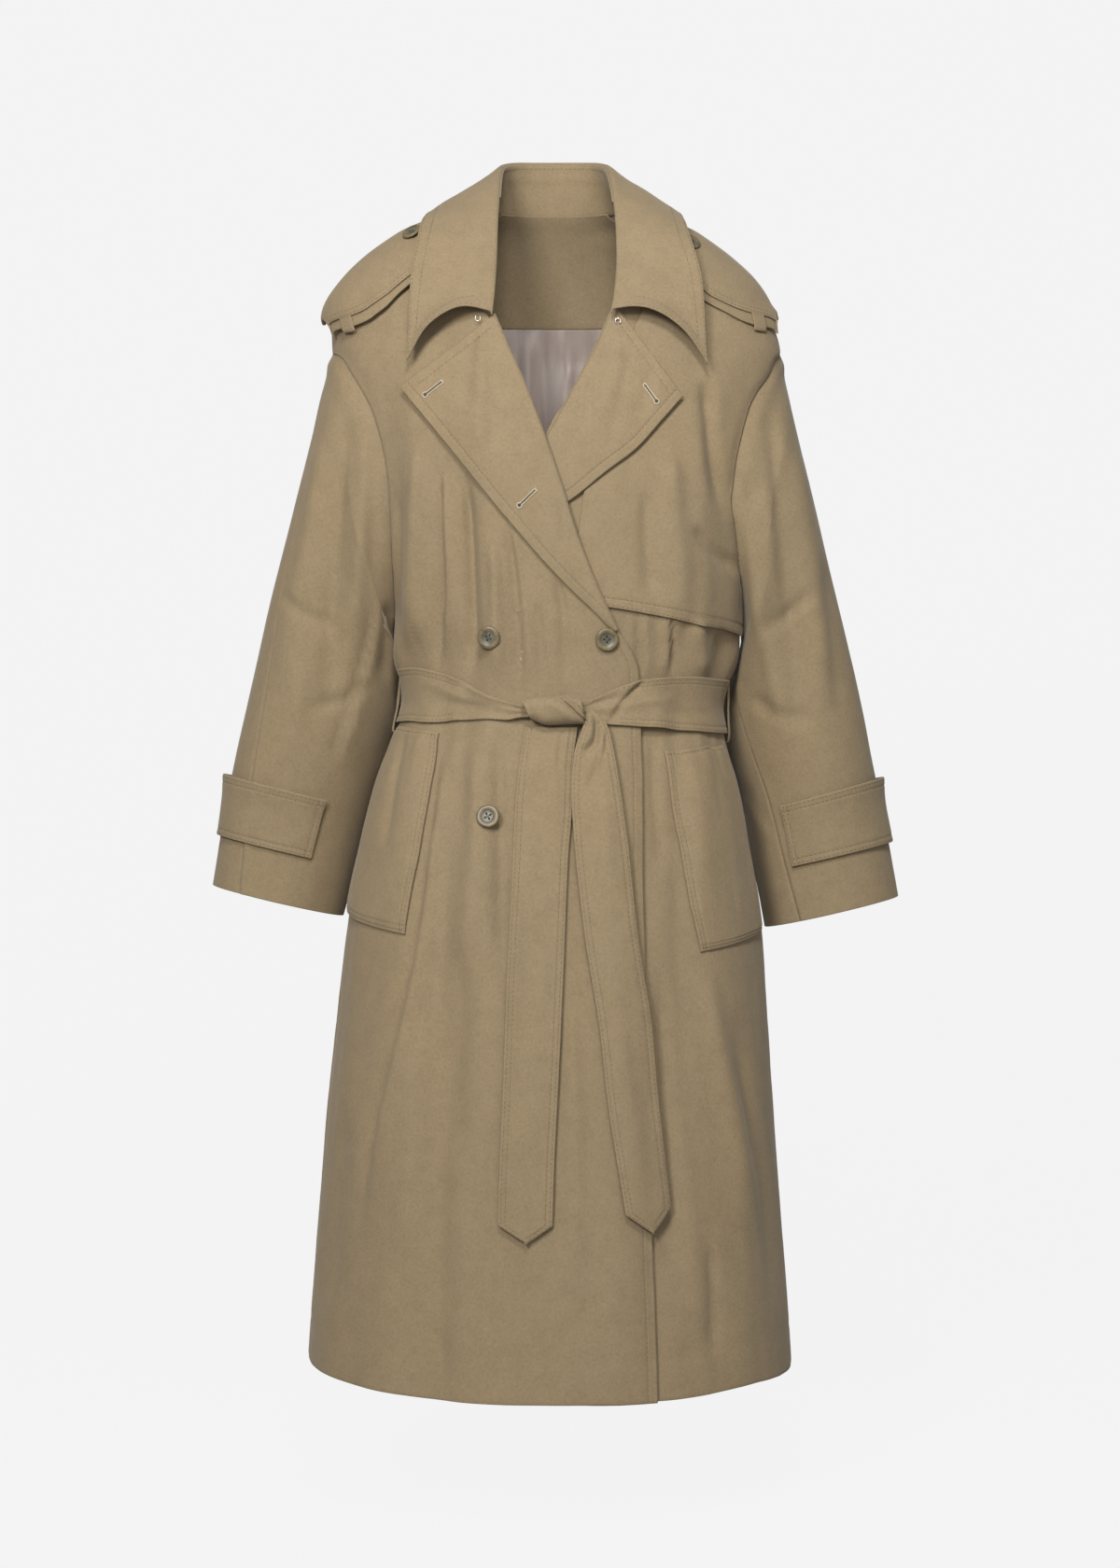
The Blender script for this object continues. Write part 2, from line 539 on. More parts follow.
def drafted(p):
    """Where a point is drafted on the sheet."""
    k = SHEET * EYE / (EYE + p[..., 1])
    return SHEET_U + (p[..., 0] - EYE_X) * k, SHEET_W - (p[..., 2] - EYE_Z) * k


def relief(angle, z):
    """Height of the creases and of the small unevenness of the hanging cloth at a place of the body surface."""
    angle, z = np.broadcast_arrays(np.asarray(angle, float), np.asarray(z, float))
    p = skin(angle, z, 0.0, 0.0)
    u, w = drafted(p)
    turn = np.sin(angle)
    face = smooth(0.10, 0.40, np.abs(turn))
    front = creased(CREASES, u, w)
    back = creased(CREASES_BACK, p[..., 0] * 1000, -p[..., 2] * 1000 * -1.0)
    big = np.where(turn < 0, front, back) * face
    round_ = angle * 0.18
    calm = 1 - 0.75 * np.exp(-(((z - WAIST) / 0.030) ** 2))
    calm = calm * (0.35 + 0.65 * smooth(0.05, 0.20, -z))
    small = (0.0012 * lattice(round_ / 0.040, z / 0.300, 1) + 0.0006 * lattice(round_ / 0.019, z / 0.130, 2)
             + 0.00022 * lattice(round_ / 0.010, z / 0.040, 3) + 0.00012 * lattice(round_ / 0.006, z / 0.012, 4))
    gather = 0.0009 * lattice(round_ / 0.013, z / 0.20, 5) * np.exp(-((np.abs(z - WAIST) - 0.05) / 0.035) ** 2)
    under_arm = 0.0125 * np.exp(-(((z + 0.458) / 0.030) ** 2)) * (1 - smooth(0.10, 0.45, np.abs(turn)))
    return 2.9 * big * (1 - 0.55 * np.exp(-(((z - WAIST) / 0.018) ** 2))) + (small + gather) * calm + under_arm


# ---------------------------------------------------------------- grids of points and shells
TURNED = np.array([0, .7, 1.4, 2.2, 3.2, 4.6, 6.4, 7.4, 8.2, 9.0, 9.8, 11.0, 13.5]) / 1000   # rows near a stitched edge
SEWN = np.array([0, .6, 1.2, 2.0, 3.2, 5.5]) / 1000                                        # rows near a seam
RAW = np.array([0, 1.2, 3.0]) / 1000                                                       # rows near a hidden edge


def spaced(length, near, far, count):
    """Places along rows of those lengths (m): close together at both ends, and count steps between."""
    length = np.asarray(length, float).reshape(-1, 1)
    near, far = np.asarray(near)[None], np.asarray(far)[None]
    small = np.minimum(1, 0.42 * length / max(near[0, -1] + far[0, -1], 1e-6) * 2)
    near, far = near * small, far * small
    room = length - near[:, -1:] - far[:, -1:]
    middle = near[:, -1:] + room * np.linspace(0, 1, count + 1)[None, 1:-1]
    return np.concatenate([near, middle, length - far[:, ::-1]], 1)


def runs(points):
    """Distance along each row of a grid, from its first point."""
    step = np.linalg.norm(np.diff(points, axis=1), axis=2)
    return np.concatenate([np.zeros((len(points), 1)), np.cumsum(step, 1)], 1)


def round_rows(start, stop, levels, near, far, count):
    """Angles of rows round the body from start to stop, spaced evenly in metres. Levels are brought to the hem."""
    start, stop = np.asarray(start, float), np.asarray(stop, float)
    dense = start[:, None] + (stop - start)[:, None] * np.linspace(0, 1, 121)[None]
    level = np.repeat(np.asarray(levels)[:, None], 121, 1)
    p = skin(dense, hem(dense, level), 0.0, 0.0)
    run = runs(p)
    want = spaced(run[:, -1], near, far, count)
    at = np.array([np.interp(w, r, d) for w, r, d in zip(want, run, dense)])
    return at, want, run[:, -1:] - want


def levels_between(low, high, step, near, far):
    room = (high - far[-1]) - (low + near[-1])
    count = max(1, round(room / step))
    return np.concatenate([low + near, low + near[-1] + room * np.linspace(0, 1, count + 1)[1:-1], (high - far)[::-1]])


def groove(distance, depth, width):
    return -depth * np.exp(-((distance / width) ** 2))


def grid_normals(points, look, wrap=False):
    """Unit normals of a grid of points, on the side that look names: a direction, or None for away from the middle."""
    a = np.gradient(points, axis=0)
    if wrap:
        b = (np.roll(points, -1, 1) - np.roll(points, 1, 1)) / 2
    else:
        b = np.gradient(points, axis=1)
    n = np.cross(a, b)
    size = np.linalg.norm(n, axis=-1, keepdims=True)
    n = n / np.maximum(size, 1e-12)
    if look is None:
        middle = points.reshape(-1, 3).mean(0)
        way = points - middle * np.array([0.6, 0.0, 1.0])
        way[..., 2] = 0
        if wrap:
            way = points - middle
    else:
        way = np.broadcast_to(np.array(look, float), points.shape)
    flip = (n * way * size).sum() < 0
    return (-n if flip else n), flip


def raised(points, height, look, wrap=False):
    n, _ = grid_normals(points, look, wrap)
    return points + n * np.asarray(height)[..., None]


MADE = []


def build(name, points, faces, kinds=None):
    mesh = bpy.data.meshes.new(name)
    mesh.from_pydata(np.asarray(points, float).tolist(), [], faces if isinstance(faces, list) else faces.tolist())
    mesh.polygons.foreach_set("use_smooth", np.ones(len(mesh.polygons), bool))
    if kinds is not None:
        mesh.polygons.foreach_set("material_index", np.asarray(kinds, np.int32))
    mesh.update()
    ob = bpy.data.objects.new(name, mesh)
    bpy.context.scene.collection.objects.link(ob)
    MADE.append(ob)
    return ob


def shell(name, points, thick, look=None, ends=(1, 1, 1, 1), wrap=False, turned=None):
    """A closed cloth wall: the visible face runs through the grid, the other lies behind it, and the edges are rounded.
    ends says for the first row, last column, last row and first column whether the edge is rounded (1) or cut flat (0)."""
    points = np.asarray(points, float)
    rows, cols = points.shape[:2]
    n, flip = grid_normals(points, look, wrap)
    thick = np.broadcast_to(np.asarray(thick, float), (rows, cols))[..., None]
    under = points - n * thick
    count = rows * cols
    index = np.arange(count).reshape(rows, cols)
    if wrap:
        right = np.roll(index, -1, 1)
        a, b, c, d = index[:-1], right[:-1], right[1:], index[1:]
    else:
        a, b, c, d = index[:-1, :-1], index[:-1, 1:], index[1:, 1:], index[1:, :-1]
    top = np.stack([a, b, c, d], -1).reshape(-1, 4)
    # the cross product of rows by columns is the grid's own normal; faces a b c d turn the other way
    if not flip:
        top = top[:, ::-1]
    bottom = top[:, ::-1] + count
    out = np.zeros_like(points)
    if not wrap:
        out[:, 0] += (points[:, 0] - points[:, 1]) * ends[3] / np.maximum(np.linalg.norm(points[:, 0] - points[:, 1], axis=-1, keepdims=True), 1e-9)
        out[:, -1] += (points[:, -1] - points[:, -2]) * ends[1] / np.maximum(np.linalg.norm(points[:, -1] - points[:, -2], axis=-1, keepdims=True), 1e-9)
    out[0] += (points[0] - points[1]) * ends[0] / np.maximum(np.linalg.norm(points[0] - points[1], axis=-1, keepdims=True), 1e-9)
    out[-1] += (points[-1] - points[-2]) * ends[2] / np.maximum(np.linalg.norm(points[-1] - points[-2], axis=-1, keepdims=True), 1e-9)
    if wrap:
        loops = [list(index[0]), list(index[-1])[::-1]]
    else:
        loops = [list(index[0, :]) + list(index[1:, -1]) + list(index[-1, -2::-1]) + list(index[-2:0:-1, 0])]
    verts = [points.reshape(-1, 3), under.reshape(-1, 3)]
    faces = [top, bottom]
    base = 2 * count
    flat_p, flat_n, flat_t, flat_o = points.reshape(-1, 3), n.reshape(-1, 3), thick.reshape(-1, 1), out.reshape(-1, 3)
    for loop in loops:
        loop = np.array(loop)
        size = len(loop)
        rings = [loop]
        for depth, reach in ((0.16, 0.30), (0.5, 0.46), (0.84, 0.30)):
            verts.append(flat_p[loop] - flat_n[loop] * flat_t[loop] * depth + flat_o[loop] * flat_t[loop] * reach)
            rings.append(np.arange(base, base + size))
            base += size
        rings.append(loop + count)
        for r0, r1 in zip(rings, rings[1:]):
            quad = np.stack([r0, r1, np.roll(r1, -1), np.roll(r0, -1)], -1)
            faces.append(quad if flip else quad[:, ::-1])
    faces = np.concatenate(faces)
    kinds = np.zeros(len(faces), np.int32)
    if turned is not None:
        kinds[len(top):2 * len(top)] = 1
    ob = build(name, np.concatenate(verts), faces, kinds)
    return ob


# ---------------------------------------------------------------- stitches
THREADS = {}


def stitch(group, line, normal, pitch=0.0046, length=0.0034, thick=0.00030, sink=0.00008, skip=0):
    """A row of stitches along a line of points that lies on the cloth, whose normals are given."""
    line, normal = np.asarray(line, float), np.asarray(normal, float)
    run = np.concatenate([[0], np.cumsum(np.linalg.norm(np.diff(line, axis=0), axis=1))])
    count = int(run[-1] / pitch)
    if count < 1:
        return
    places = (np.arange(count) + 0.5) * run[-1] / count
    store = THREADS.setdefault(group, [])

    def at(s):
        return np.stack([np.interp(s, run, line[:, k]) for k in range(3)], -1)

    middle, ahead, behind = at(places), at(places + length / 2), at(places - length / 2)
    n = np.stack([np.interp(places, run, normal[:, k]) for k in range(3)], -1)
    n = n / np.linalg.norm(n, axis=1, keepdims=True)
    way = ahead - behind
    way = way / np.maximum(np.linalg.norm(way, axis=1, keepdims=True), 1e-9)
    side = np.cross(n, way)
    # a stitch: three rings of five points, pinched and sunk at its ends
    for share, grow, drop in ((-1.0, 0.35, 1.0), (-0.55, 1.0, 0.15), (0.55, 1.0, 0.15), (1.0, 0.35, 1.0)):
        for k in range(5):
            a = 2 * math.pi * (k + 0.5) / 5
            store.append(middle + way * (share * length / 2) + side * (thick * grow * math.cos(a))
                         + n * (thick * grow * math.sin(a) * 0.8 + thick * 0.35 - sink - drop * thick * 0.6))
    THREADS.setdefault(group + ":count", []).append(count)


def sew(group):
    """All stitches of a group as one mesh."""
    store, counts = THREADS[group], THREADS[group + ":count"]
    verts, faces, base = [], [], 0
    for block, count in enumerate(counts):
        rings = np.stack(store[block * 20:(block + 1) * 20], 1)        # count, 20, 3
        verts.append(rings.reshape(-1, 3))
        one = []
        for r in range(3):
            for k in range(5):
                j = (k + 1) % 5
                one.append((r * 5 + k, (r + 1) * 5 + k, (r + 1) * 5 + j, r * 5 + j))
        quads = np.array(one)[None] + (base + 20 * np.arange(count))[:, None, None]
        caps0 = np.array([4, 3, 2, 1, 0])[None] + (base + 20 * np.arange(count))[:, None]
        caps1 = np.array([15, 16, 17, 18, 19])[None] + (base + 20 * np.arange(count))[:, None]
        faces += quads.reshape(-1, 4).tolist() + caps0.tolist() + caps1.tolist()
        base += 20 * count
    return build(group, np.concatenate(verts), faces)


def inset(points, look, metres, side):
    """Line on a grid at a distance from one of its edges, with normals. side: "first"/"last" row or "left"/"right" column."""
    n, _ = grid_normals(points, look)
    if side in ("first", "last"):
        points, n = points.transpose(1, 0, 2), n.transpose(1, 0, 2)
    if side in ("last", "right"):
        points, n = points[:, ::-1], n[:, ::-1]
    run = runs(points)
    line, ways = [], []
    for p, q, r in zip(points, n, run):
        d = min(metres, r[-1])
        line.append([np.interp(d, r, p[:, k]) for k in range(3)])
        ways.append([np.interp(d, r, q[:, k]) for k in range(3)])
    return np.array(line), np.array(ways)

# ---------------------------------------------------------------- camera, light and ground
camera_data = bpy.data.cameras.new("camera")
camera = bpy.data.objects.new("camera", camera_data)
bpy.context.scene.collection.objects.link(camera)
camera.location = (EYE_X, -EYE, EYE_Z)
camera.rotation_euler = (math.pi / 2, 0, 0)
camera_data.sensor_fit = "VERTICAL"
camera_data.sensor_height = 36
camera_data.lens = 36 * EYE * SHEET / 1680
camera_data.clip_start, camera_data.clip_end = 0.05, 60
bpy.context.scene.camera = camera
bpy.context.scene.view_settings.view_transform = "Standard"


def light(name, place_, aim, size, watts, colour=(1, 1, 1)):
    data = bpy.data.lights.new(name, "AREA")
    data.shape, data.size, data.energy, data.color = "DISK", size, watts, colour
    ob = bpy.data.objects.new(name, data)
    bpy.context.scene.collection.objects.link(ob)
    ob.location = place_
    ob.rotation_euler = (Vector(aim) - Vector(place_)).to_track_quat("-Z", "Y").to_euler()
    return ob


light("key", (-1.10, -3.5, 0.80), (0, 0, -0.60), 1.0, 106, (1.0, 0.99, 0.975))
light("fill", (0.7, -3.5, -0.3), (0, 0, -0.60), 1.6, 20)
light("top", (0.0, -1.7, 0.85), (0, 0.10, -0.03), 0.4, 25)

world = bpy.data.worlds.new("studio")
bpy.context.scene.world = world
world.use_nodes = True
world.node_tree.nodes["Background"].inputs["Color"].default_value = (0.92, 0.92, 0.92, 1)
world.node_tree.nodes["Background"].inputs["Strength"].default_value = 0.35


# ---------------------------------------------------------------- materials
def links(m):
    tree = m.node_tree

    def node(kind, **values):
        n = tree.nodes.new(kind)
        for key, value in values.items():
            if key in n.inputs:
                n.inputs[key].default_value = value
            else:
                setattr(n, key, value)
        return n

    return tree, node, tree.nodes["Principled BSDF"]


def noise(node, tree, where, scale, detail=3.0, rough=0.55, stretch=None):
    n = node("ShaderNodeTexNoise", Scale=scale, Detail=detail, Roughness=rough)
    if stretch:
        m = node("ShaderNodeMapping")
        m.inputs["Scale"].default_value = stretch
        tree.links.new(where, m.inputs["Vector"])
        where = m.outputs["Vector"]
    tree.links.new(where, n.inputs["Vector"])
    return n.outputs["Fac"]


def ramp(node, tree, value, stops):
    r = node("ShaderNodeValToRGB")
    while len(r.color_ramp.elements) < len(stops):
        r.color_ramp.elements.new(0.5)
    for element, (at, colour) in zip(r.color_ramp.elements, stops):
        element.position, element.color = at, (*colour, 1)
    tree.links.new(value, r.inputs["Fac"])
    return r.outputs["Color"]


def blend(node, tree, a, b, factor, kind="MIX"):
    m = node("ShaderNodeMix", data_type="RGBA", blend_type=kind)
    for socket, value in ((m.inputs[6], a), (m.inputs[7], b)):
        if isinstance(value, tuple):
            socket.default_value = (*value, 1)
        else:
            tree.links.new(value, socket)
    if isinstance(factor, float):
        m.inputs[0].default_value = factor
    else:
        tree.links.new(factor, m.inputs[0])
    return m.outputs[2]


def maths(node, tree, op, a, b):
    m = node("ShaderNodeMath", operation=op)
    for socket, value in zip(m.inputs, (a, b)):
        if isinstance(value, (int, float)):
            socket.default_value = value
        else:
            tree.links.new(value, socket)
    return m.outputs[0]


def bump(node, tree, height, distance, strength=1.0, under=None):
    b = node("ShaderNodeBump", Strength=strength, Distance=distance)
    tree.links.new(height, b.inputs["Height"])
    if under is not None:
        tree.links.new(under, b.inputs["Normal"])
    return b.outputs["Normal"]


def gabardine(name, base=(0.222, 0.166, 0.096), seed=0.0):
    """Fine cotton gabardine: a steep twill, a peached surface and a slightly uneven tan dye."""
    m = bpy.data.materials.new(name)
    m.use_nodes = True
    tree, node, shader = links(m)
    place_ = node("ShaderNodeTexCoord").outputs["Object"]
    shift = node("ShaderNodeMapping")
    shift.inputs["Location"].default_value = (seed, seed * 0.7, seed * 1.3)
    tree.links.new(place_, shift.inputs["Vector"])
    where = shift.outputs["Vector"]
    broad = noise(node, tree, where, 7.0, 3.0, 0.6)
    cloud = noise(node, tree, where, 55.0, 4.0, 0.65)
    nap = noise(node, tree, where, 420.0, 3.0, 0.7)
    grain = noise(node, tree, where, 1300.0, 2.0, 0.6)
    twill = node("ShaderNodeTexWave", Scale=330.0, Distortion=1.2, Detail=2.0, wave_type="BANDS", bands_direction="DIAGONAL")
    twill.inputs["Detail Scale"].default_value = 3.0
    tree.links.new(where, twill.inputs["Vector"])
    r, g, b = base
    tint = ramp(node, tree, broad, [(0.30, (r * 0.965, g * 0.99, b * 1.03)), (0.52, (r, g, b)), (0.72, (r * 1.035, g * 1.005, b * 0.955))])
    warm = ramp(node, tree, cloud, [(0.30, (r * 0.90, g * 0.885, b * 0.86)), (0.50, (r, g, b)), (0.70, (r * 1.09, g * 1.08, b * 1.08))])
    colour = blend(node, tree, tint, warm, 0.55)
    fine = ramp(node, tree, nap, [(0.32, (0.86, 0.85, 0.84)), (0.50, (1.0, 1.0, 1.0)), (0.70, (1.13, 1.13, 1.13))])
    colour = blend(node, tree, colour, fine, 0.85, "MULTIPLY")
    lines = ramp(node, tree, twill.outputs["Fac"], [(0.0, (0.93, 0.93, 0.93)), (1.0, (1.05, 1.05, 1.05))])
    colour = blend(node, tree, colour, lines, 0.55, "MULTIPLY")
    tree.links.new(colour, shader.inputs["Base Color"])
    rough = ramp(node, tree, nap, [(0.3, (0.80, 0.80, 0.80)), (0.7, (0.92, 0.92, 0.92))])
    tree.links.new(rough, shader.inputs["Roughness"])
    height = maths(node, tree, "ADD", maths(node, tree, "MULTIPLY", nap, 0.7), maths(node, tree, "MULTIPLY", twill.outputs["Fac"], 0.25))
    first = bump(node, tree, noise(node, tree, where, 90.0, 4.0, 0.6), 0.0010, 0.13)
    second = bump(node, tree, height, 0.00040, 0.30, first)
    third = bump(node, tree, grain, 0.00020, 0.35, second)
    tree.links.new(third, shader.inputs["Normal"])
    shader.inputs["Specular IOR Level"].default_value = 0.28
    shader.inputs["Sheen Weight"].default_value = 0.16
    shader.inputs["Sheen Roughness"].default_value = 0.45
    shader.inputs["Sheen Tint"].default_value = (1.0, 0.93, 0.80, 1)
    return m


def satin(name):
    """Body lining: a smooth viscose twill with a soft vertical shine."""
    m = bpy.data.materials.new(name)
    m.use_nodes = True
    tree, node, shader = links(m)
    where = node("ShaderNodeTexCoord").outputs["Object"]
    streak = noise(node, tree, where, 34.0, 3.0, 0.5, (1.0, 1.0, 0.12))
    weave = noise(node, tree, where, 900.0, 2.0, 0.6, (1.0, 1.0, 0.5))
    colour = ramp(node, tree, streak, [(0.30, (0.22, 0.170, 0.144)), (0.50, (0.28, 0.222, 0.191)), (0.72, (0.43, 0.355, 0.312))])
    colour = blend(node, tree, colour, ramp(node, tree, weave, [(0.3, (0.93, 0.93, 0.93)), (0.7, (1.06, 1.06, 1.06))]), 0.7, "MULTIPLY")
    tree.links.new(colour, shader.inputs["Base Color"])
    tree.links.new(ramp(node, tree, streak, [(0.3, (0.42, 0.42, 0.42)), (0.7, (0.32, 0.32, 0.32))]), shader.inputs["Roughness"])
    first = bump(node, tree, streak, 0.003, 0.35)
    tree.links.new(bump(node, tree, weave, 0.0002, 0.25, first), shader.inputs["Normal"])
    shader.inputs["Specular IOR Level"].default_value = 0.55
    return m


HORN = [(0.30, (0.075, 0.056, 0.026)), (0.46, (0.125, 0.095, 0.046)), (0.60, (0.160, 0.123, 0.062)), (0.74, (0.200, 0.158, 0.086))]
HORN_GREY = [(0.30, (0.040, 0.036, 0.024)), (0.46, (0.082, 0.076, 0.056)), (0.60, (0.110, 0.103, 0.078)), (0.74, (0.165, 0.158, 0.128))]


def horn(name, seed=0.0, stops=HORN):
    """Polished horn: olive tan with darker clouds and pale streaks."""
    m = bpy.data.materials.new(name)
    m.use_nodes = True
    tree, node, shader = links(m)
    shift = node("ShaderNodeMapping")
    shift.inputs["Location"].default_value = (seed, seed * 2.1, seed * 0.4)
    tree.links.new(node("ShaderNodeTexCoord").outputs["Object"], shift.inputs["Vector"])
    where = shift.outputs["Vector"]
    cloud = noise(node, tree, where, 95.0, 4.0, 0.6)
    vein = noise(node, tree, where, 260.0, 3.0, 0.7, (1.0, 1.0, 0.3))
    colour = ramp(node, tree, cloud, stops)
    colour = blend(node, tree, colour, ramp(node, tree, vein, [(0.35, (0.72, 0.70, 0.66)), (0.55, (1.0, 1.0, 1.0)), (0.72, (1.22, 1.20, 1.16))]), 0.6, "MULTIPLY")
    tree.links.new(colour, shader.inputs["Base Color"])
    tree.links.new(ramp(node, tree, vein, [(0.3, (0.38, 0.38, 0.38)), (0.7, (0.52, 0.52, 0.52))]), shader.inputs["Roughness"])
    tree.links.new(bump(node, tree, vein, 0.0002, 0.2), shader.inputs["Normal"])
    shader.inputs["Coat Weight"].default_value = 0.05
    shader.inputs["Coat Roughness"].default_value = 0.18
    return m


def steel(name):
    m = bpy.data.materials.new(name)
    m.use_nodes = True
    tree, node, shader = links(m)
    where = node("ShaderNodeTexCoord").outputs["Object"]
    wear = noise(node, tree, where, 700.0, 3.0, 0.6)
    tree.links.new(ramp(node, tree, wear, [(0.35, (0.46, 0.44, 0.40)), (0.65, (0.66, 0.64, 0.60))]), shader.inputs["Base Color"])
    tree.links.new(ramp(node, tree, wear, [(0.35, (0.22, 0.22, 0.22)), (0.65, (0.38, 0.38, 0.38))]), shader.inputs["Roughness"])
    shader.inputs["Metallic"].default_value = 1.0
    return m


def thread(name, base):
    m = bpy.data.materials.new(name)
    m.use_nodes = True
    tree, node, shader = links(m)
    where = node("ShaderNodeTexCoord").outputs["Object"]
    ply = noise(node, tree, where, 1500.0, 2.0, 0.6)
    r, g, b = base
    tree.links.new(ramp(node, tree, ply, [(0.3, (r * 0.86, g * 0.86, b * 0.85)), (0.7, (r * 1.12, g * 1.12, b * 1.12))]), shader.inputs["Base Color"])
    tree.links.new(bump(node, tree, ply, 0.0002, 0.4), shader.inputs["Normal"])
    shader.inputs["Roughness"].default_value = 0.62
    return m


CLOTH_A, CLOTH_B, CLOTH_C = gabardine("gabardine_body"), gabardine("gabardine_trim", (0.224, 0.168, 0.097), 3.7), gabardine("gabardine_sleeve", (0.220, 0.165, 0.095), 8.1)
SATIN, STEEL = satin("lining_satin"), steel("hook_steel")
THREAD = thread("thread_tan", (0.112, 0.083, 0.046))
THREAD_PALE = thread("thread_pale", (0.46, 0.385, 0.265))
DARK = thread("slit_shadow", (0.022, 0.016, 0.010))


def ground():
    """A pale sweep: floor below the hem, curving up far behind."""
    profile = [(-4.6, 0.0), (-2.0, 0.0), (0.9, 0.0), (1.8, 0.0)]
    for k in range(1, 9):
        a = math.pi / 2 * k / 8
        profile.append((1.8 + 1.2 * math.sin(a), 1.2 - 1.2 * math.cos(a)))
    profile.append((3.0, 4.2))
    points, faces = [], []
    for k, (y, z) in enumerate(profile):
        points += [(-6, y, z - 1.315), (6, y, z - 1.315)]
        if k:
            faces.append((2 * k - 2, 2 * k - 1, 2 * k + 1, 2 * k))
    mesh = bpy.data.meshes.new("floor")
    mesh.from_pydata(points, [], faces)
    mesh.polygons.foreach_set("use_smooth", [True] * len(faces))
    ob = bpy.data.objects.new("floor", mesh)
    bpy.context.scene.collection.objects.link(ob)
    m = bpy.data.materials.new("pale_floor")
    m.use_nodes = True
    shader = m.node_tree.nodes["Principled BSDF"]
    shader.inputs["Base Color"].default_value = (0.02, 0.02, 0.02, 1)
    shader.inputs["Roughness"].default_value = 1.0
    shader.inputs["Specular IOR Level"].default_value = 0.0
    shader.inputs["Emission Color"].default_value = (1.0, 1.0, 1.0, 1)
    shader.inputs["Emission Strength"].default_value = 0.885
    mesh.materials.append(m)
    ob.visible_diffuse = ob.visible_glossy = False
    ob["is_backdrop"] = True


ground()


def dress(ob, material, nodes, second=None):
    """Gives a piece its material and its place in the frame."""
    ob.data.materials.append(material)
    if second is not None:
        ob.data.materials.append(second)
    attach(ob, "root")
    if nodes:
        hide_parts(*nodes)
    return ob

# ---------------------------------------------------------------- back and fronts
def closing(points, end):
    """Seam of an armhole by its level, rounded where it closes at the shoulder tip and under the arm."""
    at, z, _ = on_front(*np.array(points, float).T)
    inner = sorted((zz, aa) for zz, aa in zip(z, at) if ARMPIT + 0.006 < zz < SHOULDER_TIP - 0.006)
    (z0, a0), (z1, a1) = inner[0], inner[-1]
    rows = [(ARMPIT, end)]
    for k in (0.12, 0.3, 0.6):
        rows.append((ARMPIT + (z0 - ARMPIT) * k, end + (a0 - end) * math.sqrt(1 - (1 - k) ** 2) * 0.97))
    rows += inner
    for k in (0.6, 0.3, 0.12):
        rows.append((SHOULDER_TIP + (z1 - SHOULDER_TIP) * k, end + (a1 - end) * math.sqrt(1 - (1 - k) ** 2) * 0.97))
    rows.append((SHOULDER_TIP, end))
    return Track(rows)


ARM = {"right": closing(ARMHOLE_RIGHT, -math.pi), "left": closing(ARMHOLE_LEFT, 0.0)}
SIDE = {"right": -math.pi, "left": 0.0}


def arm_levels():
    """Levels down an armhole, close enough together to follow its round top and foot."""
    dense = np.linspace(ARMPIT, SHOULDER_TIP, 2400)
    p = skin(ARM["right"](dense)[:, 0], dense, 0.0, 0.0)
    run = np.concatenate([[0], np.cumsum(np.linalg.norm(np.diff(p, axis=0), axis=1))])
    return np.interp(np.linspace(0, run[-1], int(run[-1] / 0.0052)), run, dense)


ARM_LEVELS = arm_levels()
LEVELS = np.concatenate([
    levels_between(ROWS[0], ARMPIT, 0.0066, TURNED, np.array([0, 0.002])),
    ARM_LEVELS[1:],
    levels_between(SHOULDER_TIP, ROWS[-1] + 0.002, 0.0050, np.array([0, 0.002]), SEWN)[1:],
])


def arm(side, level):
    level = np.asarray(level, float)
    inside_ = (level > ARMPIT) & (level < SHOULDER_TIP)
    return np.where(inside_, ARM[side](level)[..., 0], SIDE[side])


edge_right = edge_track(EDGE_RIGHT, overlap)
edge_left = edge_track(EDGE_LEFT, 0.0)


def panel(side, edge, setback):
    """Angles and levels of a front, with the distances from its outer seam and from its free edge."""
    outer = arm(side, LEVELS)
    inner = edge(LEVELS)[:, 0] + (-1 if side == "right" else 1) * setback(LEVELS)
    at, near, far = round_rows(outer, inner, LEVELS, SEWN, TURNED, 72)
    level = np.repeat(LEVELS[:, None], at.shape[1], 1)
    return at, hem(at, level), level, near, far


def seam_dip(near, level):
    return groove(near, 0.0011, 0.0016) + 0.0005 * np.exp(-(((near - 0.0045) / 0.003) ** 2))


def hem_roll(level):
    low = level - ROWS[0]
    return -0.0004 * np.exp(-((low / 0.0015) ** 2)) + groove(low - 0.040, 0.00035, 0.0022)


# How far the fronts stop short of the V line, where the lapel rolls round them
rolls = Track([(-1.3, 0.0), (-0.455, 0.0), (-0.445, 0.004), (-0.420, 0.020), (-0.300, 0.028), (-0.100, 0.034), (0.0, 0.034)])
at, z, level, near, far = panel("right", edge_right, lambda l: rolls(l)[:, 0])
R = relief(at, z)
free = 1 - smooth(-0.450, -0.430, level)
turned = far * free + 0.05 * (1 - free)
height = R + seam_dip(near, level) + hem_roll(level) + groove(turned - 0.0085, 0.00060, 0.0008) * free
height = height + 0.0006 * np.exp(-((turned / 0.006) ** 2)) * free * lattice(level / 0.09, level * 0, 21)
p0 = skin(at, z, 0.0, 0.0)
front_right_points = skin(at, z, overlap(p0[..., 0], p0[..., 2]) + height)
wall = CLOTH + 0.0022 * (1 - smooth(0.050, 0.075, far)) * free * smooth(-1.25, -1.17, level)
FRONT_RIGHT = shell("front_right", front_right_points, wall, None, (1, 1, 0, 0), turned=True)
RIGHT = dict(at=at, z=z, level=level, near=near, far=far, points=front_right_points)
line, ways = inset(front_right_points, None, 0.0085, "right")
keep = (LEVELS < -0.452)
stitch("stitches_body", line[keep], ways[keep])
line, ways = inset(front_right_points, None, 0.0018, "right")

